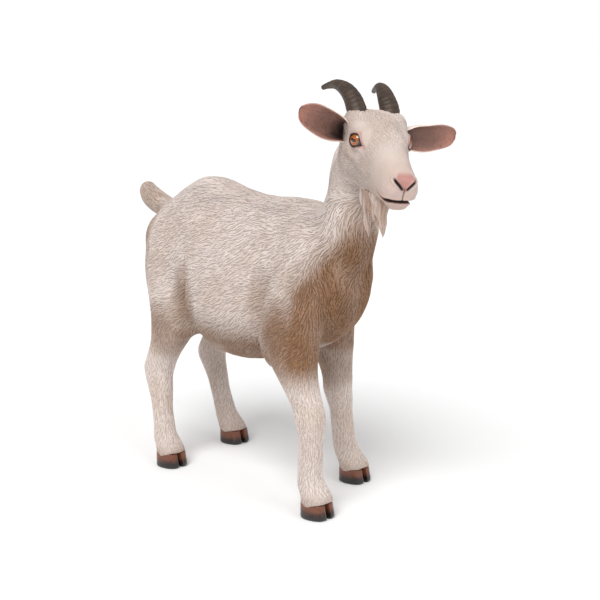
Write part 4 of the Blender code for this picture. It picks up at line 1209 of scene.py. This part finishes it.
def painted_eye(colours):
    """Orange iris with fine rays round a level black pupil, a dark edge, and a clear gloss over all."""
    paint = Paint("painted_eye")
    across, up = paint.attribute("gaze_across"), paint.attribute("gaze_up")
    far = paint.math("SQRT", paint.plus(paint.times(across, across), paint.times(up, up)))
    turn = paint.math("ARCTAN2", up, across)
    rays = paint.plus(paint.times(paint.math("SINE", paint.times(turn, 38.0)), 0.22), 0.5)
    rays = paint.plus(rays, paint.times(paint.math("SUBTRACT", paint.noise(900.0), 0.5), 0.8))
    iris = paint.mix(paint.ramp(rays, 0.2, 0.9), colours.iris_deep, colours.iris)
    iris = paint.mix(paint.ramp(far, 0.42, 0.24), iris, colours.iris_glow)
    iris = paint.mix(paint.ramp(far, 0.54, 0.66), iris, colours.eye_dark)
    wide = paint.math("POWER", paint.math("ABSOLUTE", paint.math("DIVIDE", across, 0.33)), 2.6)
    tall = paint.math("POWER", paint.math("ABSOLUTE", paint.math("DIVIDE", up, 0.155)), 2.6)
    colour = paint.mix(paint.ramp(paint.plus(wide, tall), 1.25, 0.85), iris, (0.004, 0.003, 0.003))
    return paint.finish(colour, 0.08, 1.0)


def painted_tooth(colours):
    """Worn ivory."""
    paint = Paint("painted_tooth")
    colour = paint.mix(paint.noise(300.0), colours.tooth, (0.55, 0.45, 0.34))
    paint.bump(paint.noise(600.0), 0.0002)
    return paint.finish(colour, 0.3)


# ---------------------------------------------------------------- stage

CAMERA_TARGET = np.array([-0.0982, -0.1816, 0.42105])
CAMERA_AZIMUTH = -44.57
CAMERA_ELEVATION = 11.865
CAMERA_DISTANCE = 2.2146
CAMERA_FOCAL_PIXELS = 1203.2
FRAME_PIXELS = 600
SENSOR = 36.0           # mm
FLOOR_REACH = 60.0
SUN_SPREAD = 38.0       # degrees
WORLD_LIGHT = 0.50
WORLD_SEEN = 1.0        # by the camera
# name, azimuth it shines from, height above the horizon, strength
SUNS = (("key", -66.0, 50.0, 2.35), ("fill", 0.0, 28.0, 0.60))


def build_stage(colours):
    """Camera, pale floor, white surroundings, a broad soft sun from the left and a weak front one."""
    azimuth, elevation = math.radians(CAMERA_AZIMUTH), math.radians(CAMERA_ELEVATION)
    back = np.array([math.sin(azimuth) * math.cos(elevation), -math.cos(azimuth) * math.cos(elevation),
                     math.sin(elevation)])
    data = bpy.data.cameras.new("camera")
    data.sensor_width = SENSOR
    data.lens = CAMERA_FOCAL_PIXELS / FRAME_PIXELS * SENSOR
    camera = bpy.data.objects.new("camera", data)
    bpy.context.scene.collection.objects.link(camera)
    camera.location = CAMERA_TARGET + back * CAMERA_DISTANCE
    camera.rotation_euler = (math.pi / 2.0 - elevation, 0.0, azimuth)
    bpy.context.scene.camera = camera
    corners = [(x * FLOOR_REACH, y * FLOOR_REACH, 0.0) for x, y in ((-1, -1), (1, -1), (1, 1), (-1, 1))]
    floor = add_object("floor", mesh_from("floor", corners, [(0, 1, 2, 3)]))
    plaster = Paint("floor")
    floor.data.materials.append(plaster.finish(colours.floor, 0.9))
    world = bpy.data.worlds.new("studio")
    world.use_nodes = True
    tree = world.node_tree
    ground = tree.nodes["Background"]
    ground.inputs["Color"].default_value = (1.0, 1.0, 1.0, 1.0)
    ray = tree.nodes.new("ShaderNodeLightPath")
    share = tree.nodes.new("ShaderNodeMapRange")
    share.inputs["To Min"].default_value = WORLD_LIGHT
    share.inputs["To Max"].default_value = WORLD_SEEN
    tree.links.new(ray.outputs["Is Camera Ray"], share.inputs["Value"])
    tree.links.new(share.outputs[0], ground.inputs["Strength"])
    bpy.context.scene.world = world
    bpy.context.scene.view_settings.view_transform = "Standard"
    for name, turn, height, power in SUNS:
        lamp = bpy.data.lights.new(name, "SUN")
        lamp.energy = power
        lamp.angle = math.radians(SUN_SPREAD)
        lit = bpy.data.objects.new(name, lamp)
        bpy.context.scene.collection.objects.link(lit)
        lit.rotation_euler = (math.radians(90.0 - height), 0.0, math.radians(turn))
    return floor


# ---------------------------------------------------------------- settings

class GoatSizes(bpy.types.PropertyGroup):
    """Sizes that a user would change."""
    coat_depth: FloatProperty(name="Coat depth", description="How far the skin lies inside the outline",
                              default=0.0018, unit="LENGTH")
    skin_grain: FloatProperty(name="Skin grain", description="Distance between the points of the body's skin",
                              default=0.0050, unit="LENGTH")
    seed: IntProperty(name="Seed", description="Start of every random draw", default=7)


def tint(name, words, default):
    """A colour setting."""
    return FloatVectorProperty(name=name, description=words, subtype="COLOR", default=default)


class GoatColours(bpy.types.PropertyGroup):
    """Colours of the paint and of the studio."""
    floor: tint("Floor", "Pale studio floor", (0.95, 0.95, 0.95))
    cream: tint("Cream", "Coat at its palest", (0.80, 0.705, 0.655))
    cream_warm: tint("Warm cream", "Coat in its warmer clouds", (0.74, 0.62, 0.55))
    grey: tint("Grey", "Brushed over back and shoulder", (0.42, 0.37, 0.36))
    tan: tint("Tan", "Throat, chest, belly and folds", (0.25, 0.120, 0.048))
    # colours in the grooves: the statue's brown wash with painted shade
    groove: tint("Groove", "Wash between the strands", (0.27, 0.205, 0.17))
    groove_tan: tint("Tan groove", "Wash between the tan strands", (0.10, 0.044, 0.018))
    pink: tint("Pink", "Nose, lips and lids", (0.44, 0.215, 0.185))
    # black of the lid rims, also painted shade in nostrils, mouth line and philtrum
    soot: tint("Lid_black_and_shade", "Lid rims, nostrils and mouth", (0.012, 0.008, 0.007))
    horn: tint("Horn", "Body of the horns", (0.040, 0.022, 0.013))
    horn_light: tint("Light horn", "Streaks on the horns", (0.080, 0.046, 0.027))
    # painted shade in the valleys between the growth rings
    horn_dark: tint("Dark horn", "Growth rings", (0.018, 0.010, 0.006))
    # painted shade deep in the ear hole; also the colour of darker hair streaks
    ear_deep: tint("Ear hole", "Deep in the ear", (0.020, 0.010, 0.008))
    ear_rose: tint("Ear middle", "Middle of the ear", (0.21, 0.105, 0.080))
    ear_tip: tint("Ear tip", "Tip and rim of the ear", (0.40, 0.180, 0.135))
    claw: tint("Claw", "Lower claw", (0.010, 0.007, 0.006))
    claw_red: tint("Red claw", "Claw at the hair line", (0.155, 0.048, 0.022))
    iris: tint("Iris", "Light rays of the iris", (0.50, 0.145, 0.008))
    iris_deep: tint("Deep iris", "Dark rays of the iris", (0.16, 0.032, 0.004))
    iris_glow: tint("Iris glow", "Round the pupil", (0.42, 0.10, 0.008))
    eye_dark: tint("Eye edge", "Round the iris", (0.020, 0.008, 0.005))
    tooth: tint("Tooth", "Teeth", (0.78, 0.72, 0.62))


# ---------------------------------------------------------------- operators

def place_piece(piece, slot, make, *nodes):
    """Fasten a piece to the body, hide the solids it stands for, and paint it; the slot is not used."""
    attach(piece, "root")
    if nodes:
        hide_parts(*nodes)
    piece.data.materials.clear()
    piece.data.materials.append(material(make))


class GOAT_OT_stage(bpy.types.Operator):
    """Set up the camera, the floor and the lights"""
    bl_idname = "goat.stage"
    bl_label = "Stage"

    def execute(self, context):
        build_stage(context.scene.goat_colours)
        return {"FINISHED"}


class GOAT_OT_skin(bpy.types.Operator):
    """Melt the solids of flesh into one skin, sculpt it and paint it"""
    bl_idname = "goat.skin"
    bl_label = "Skin"

    def execute(self, context):
        skin = build_skin(context.scene.goat_sizes)
        points = read(skin.data.vertices, "co").astype(float)
        # the skin shows between the strands: painted shade with brown wash there, less where the hair dies
        # away on the face
        groove = 0.80 - 0.46 * smooth_face(points)
        keep_marks(skin.data, marks(points), groove, np.full(len(points), 0.5))
        place_piece(skin, "coat", painted_hair, *FLESH)
        return {"FINISHED"}


class GOAT_OT_coat(bpy.types.Operator):
    """Lay the carved strands of hair over the skin"""
    bl_idname = "goat.coat"
    bl_label = "Coat"

    def execute(self, context):
        for piece in build_coat(bpy.data.objects["skin"], context.scene.goat_sizes.seed):
            place_piece(piece, "coat", painted_hair)
        return {"FINISHED"}


class GOAT_OT_ears(bpy.types.Operator):
    """Roll the two ears"""
    bl_idname = "goat.ears"
    bl_label = "Ears"

    def execute(self, context):
        for word in ("right", "left"):
            ear = add_object("ear_shell_" + word, ear_mesh("ear_shell_" + word, word))
            place_piece(ear, "coat", painted_ear, "ear_" + word)
        return {"FINISHED"}


class GOAT_OT_horns(bpy.types.Operator):
    """Sweep the two ringed horns"""
    bl_idname = "goat.horns"
    bl_label = "Horns"

    def execute(self, context):
        for word, side in (("right", -1.0), ("left", 1.0)):
            horn = add_object("horn_ringed_" + word, horn_mesh("horn_ringed_" + word, side))
            place_piece(horn, "horn", painted_horn, "horn_" + word)
        return {"FINISHED"}


class GOAT_OT_eyes(bpy.types.Operator):
    """Set the two eyes, and paint the teeth"""
    bl_idname = "goat.eyes"
    bl_label = "Eyes and teeth"

    def execute(self, context):
        for word, side in (("right", -1.0), ("left", 1.0)):
            eye = add_object("eyeball_" + word, eye_mesh("eyeball_" + word, side))
            place_piece(eye, "eye", painted_eye, "eye_" + word)
        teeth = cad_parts["teeth"]
        teeth.material_slots[0].material = material(painted_tooth)
        return {"FINISHED"}


class GOAT_OT_claws(bpy.types.Operator):
    """Shape the eight claws"""
    bl_idname = "goat.claws"
    bl_label = "Claws"

    def execute(self, context):
        for node in [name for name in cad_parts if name.startswith("claw_")]:
            outward = -1.0 if "right" in node else 1.0
            side = outward if "outer" in node else -outward
            claw = add_object("hoof" + node[4:], claw_mesh(node, side))
            place_piece(claw, "claw", painted_claw, node)
        return {"FINISHED"}


class GOAT_OT_beard(bpy.types.Operator):
    """Hang the locks of the beard"""
    bl_idname = "goat.beard"
    bl_label = "Beard"

    def execute(self, context):
        locks = add_object("beard_locks", beard_mesh(context.scene.goat_sizes.seed + 20))
        place_piece(locks, "beard", painted_hair, "beard")
        return {"FINISHED"}


OPERATORS = (GOAT_OT_stage, GOAT_OT_skin, GOAT_OT_coat, GOAT_OT_ears, GOAT_OT_horns, GOAT_OT_eyes,
             GOAT_OT_claws, GOAT_OT_beard)


class GOAT_PT_panel(bpy.types.Panel):
    """Lists the pieces of the statue"""
    bl_idname = "GOAT_PT_panel"
    bl_label = "Goat statue"
    bl_space_type = "VIEW_3D"
    bl_region_type = "UI"
    bl_category = "Goat"

    def draw(self, context):
        for operator in OPERATORS:
            self.layout.operator(operator.bl_idname)


CLASSES = (GoatSizes, GoatColours, *OPERATORS, GOAT_PT_panel)


def register():
    """Register the classes and hang the settings on the scene."""
    for each in CLASSES:
        bpy.utils.register_class(each)
    bpy.types.Scene.goat_sizes = PointerProperty(type=GoatSizes)
    bpy.types.Scene.goat_colours = PointerProperty(type=GoatColours)


def unregister():
    """Take the settings and the classes away."""
    del bpy.types.Scene.goat_colours
    del bpy.types.Scene.goat_sizes
    for each in reversed(CLASSES):
        bpy.utils.unregister_class(each)


def main():
    """Build every piece in order."""
    register()
    for operator in OPERATORS:
        group, call = operator.bl_idname.split(".")
        getattr(getattr(bpy.ops, group), call)()


if __name__ == "__main__":
    main()
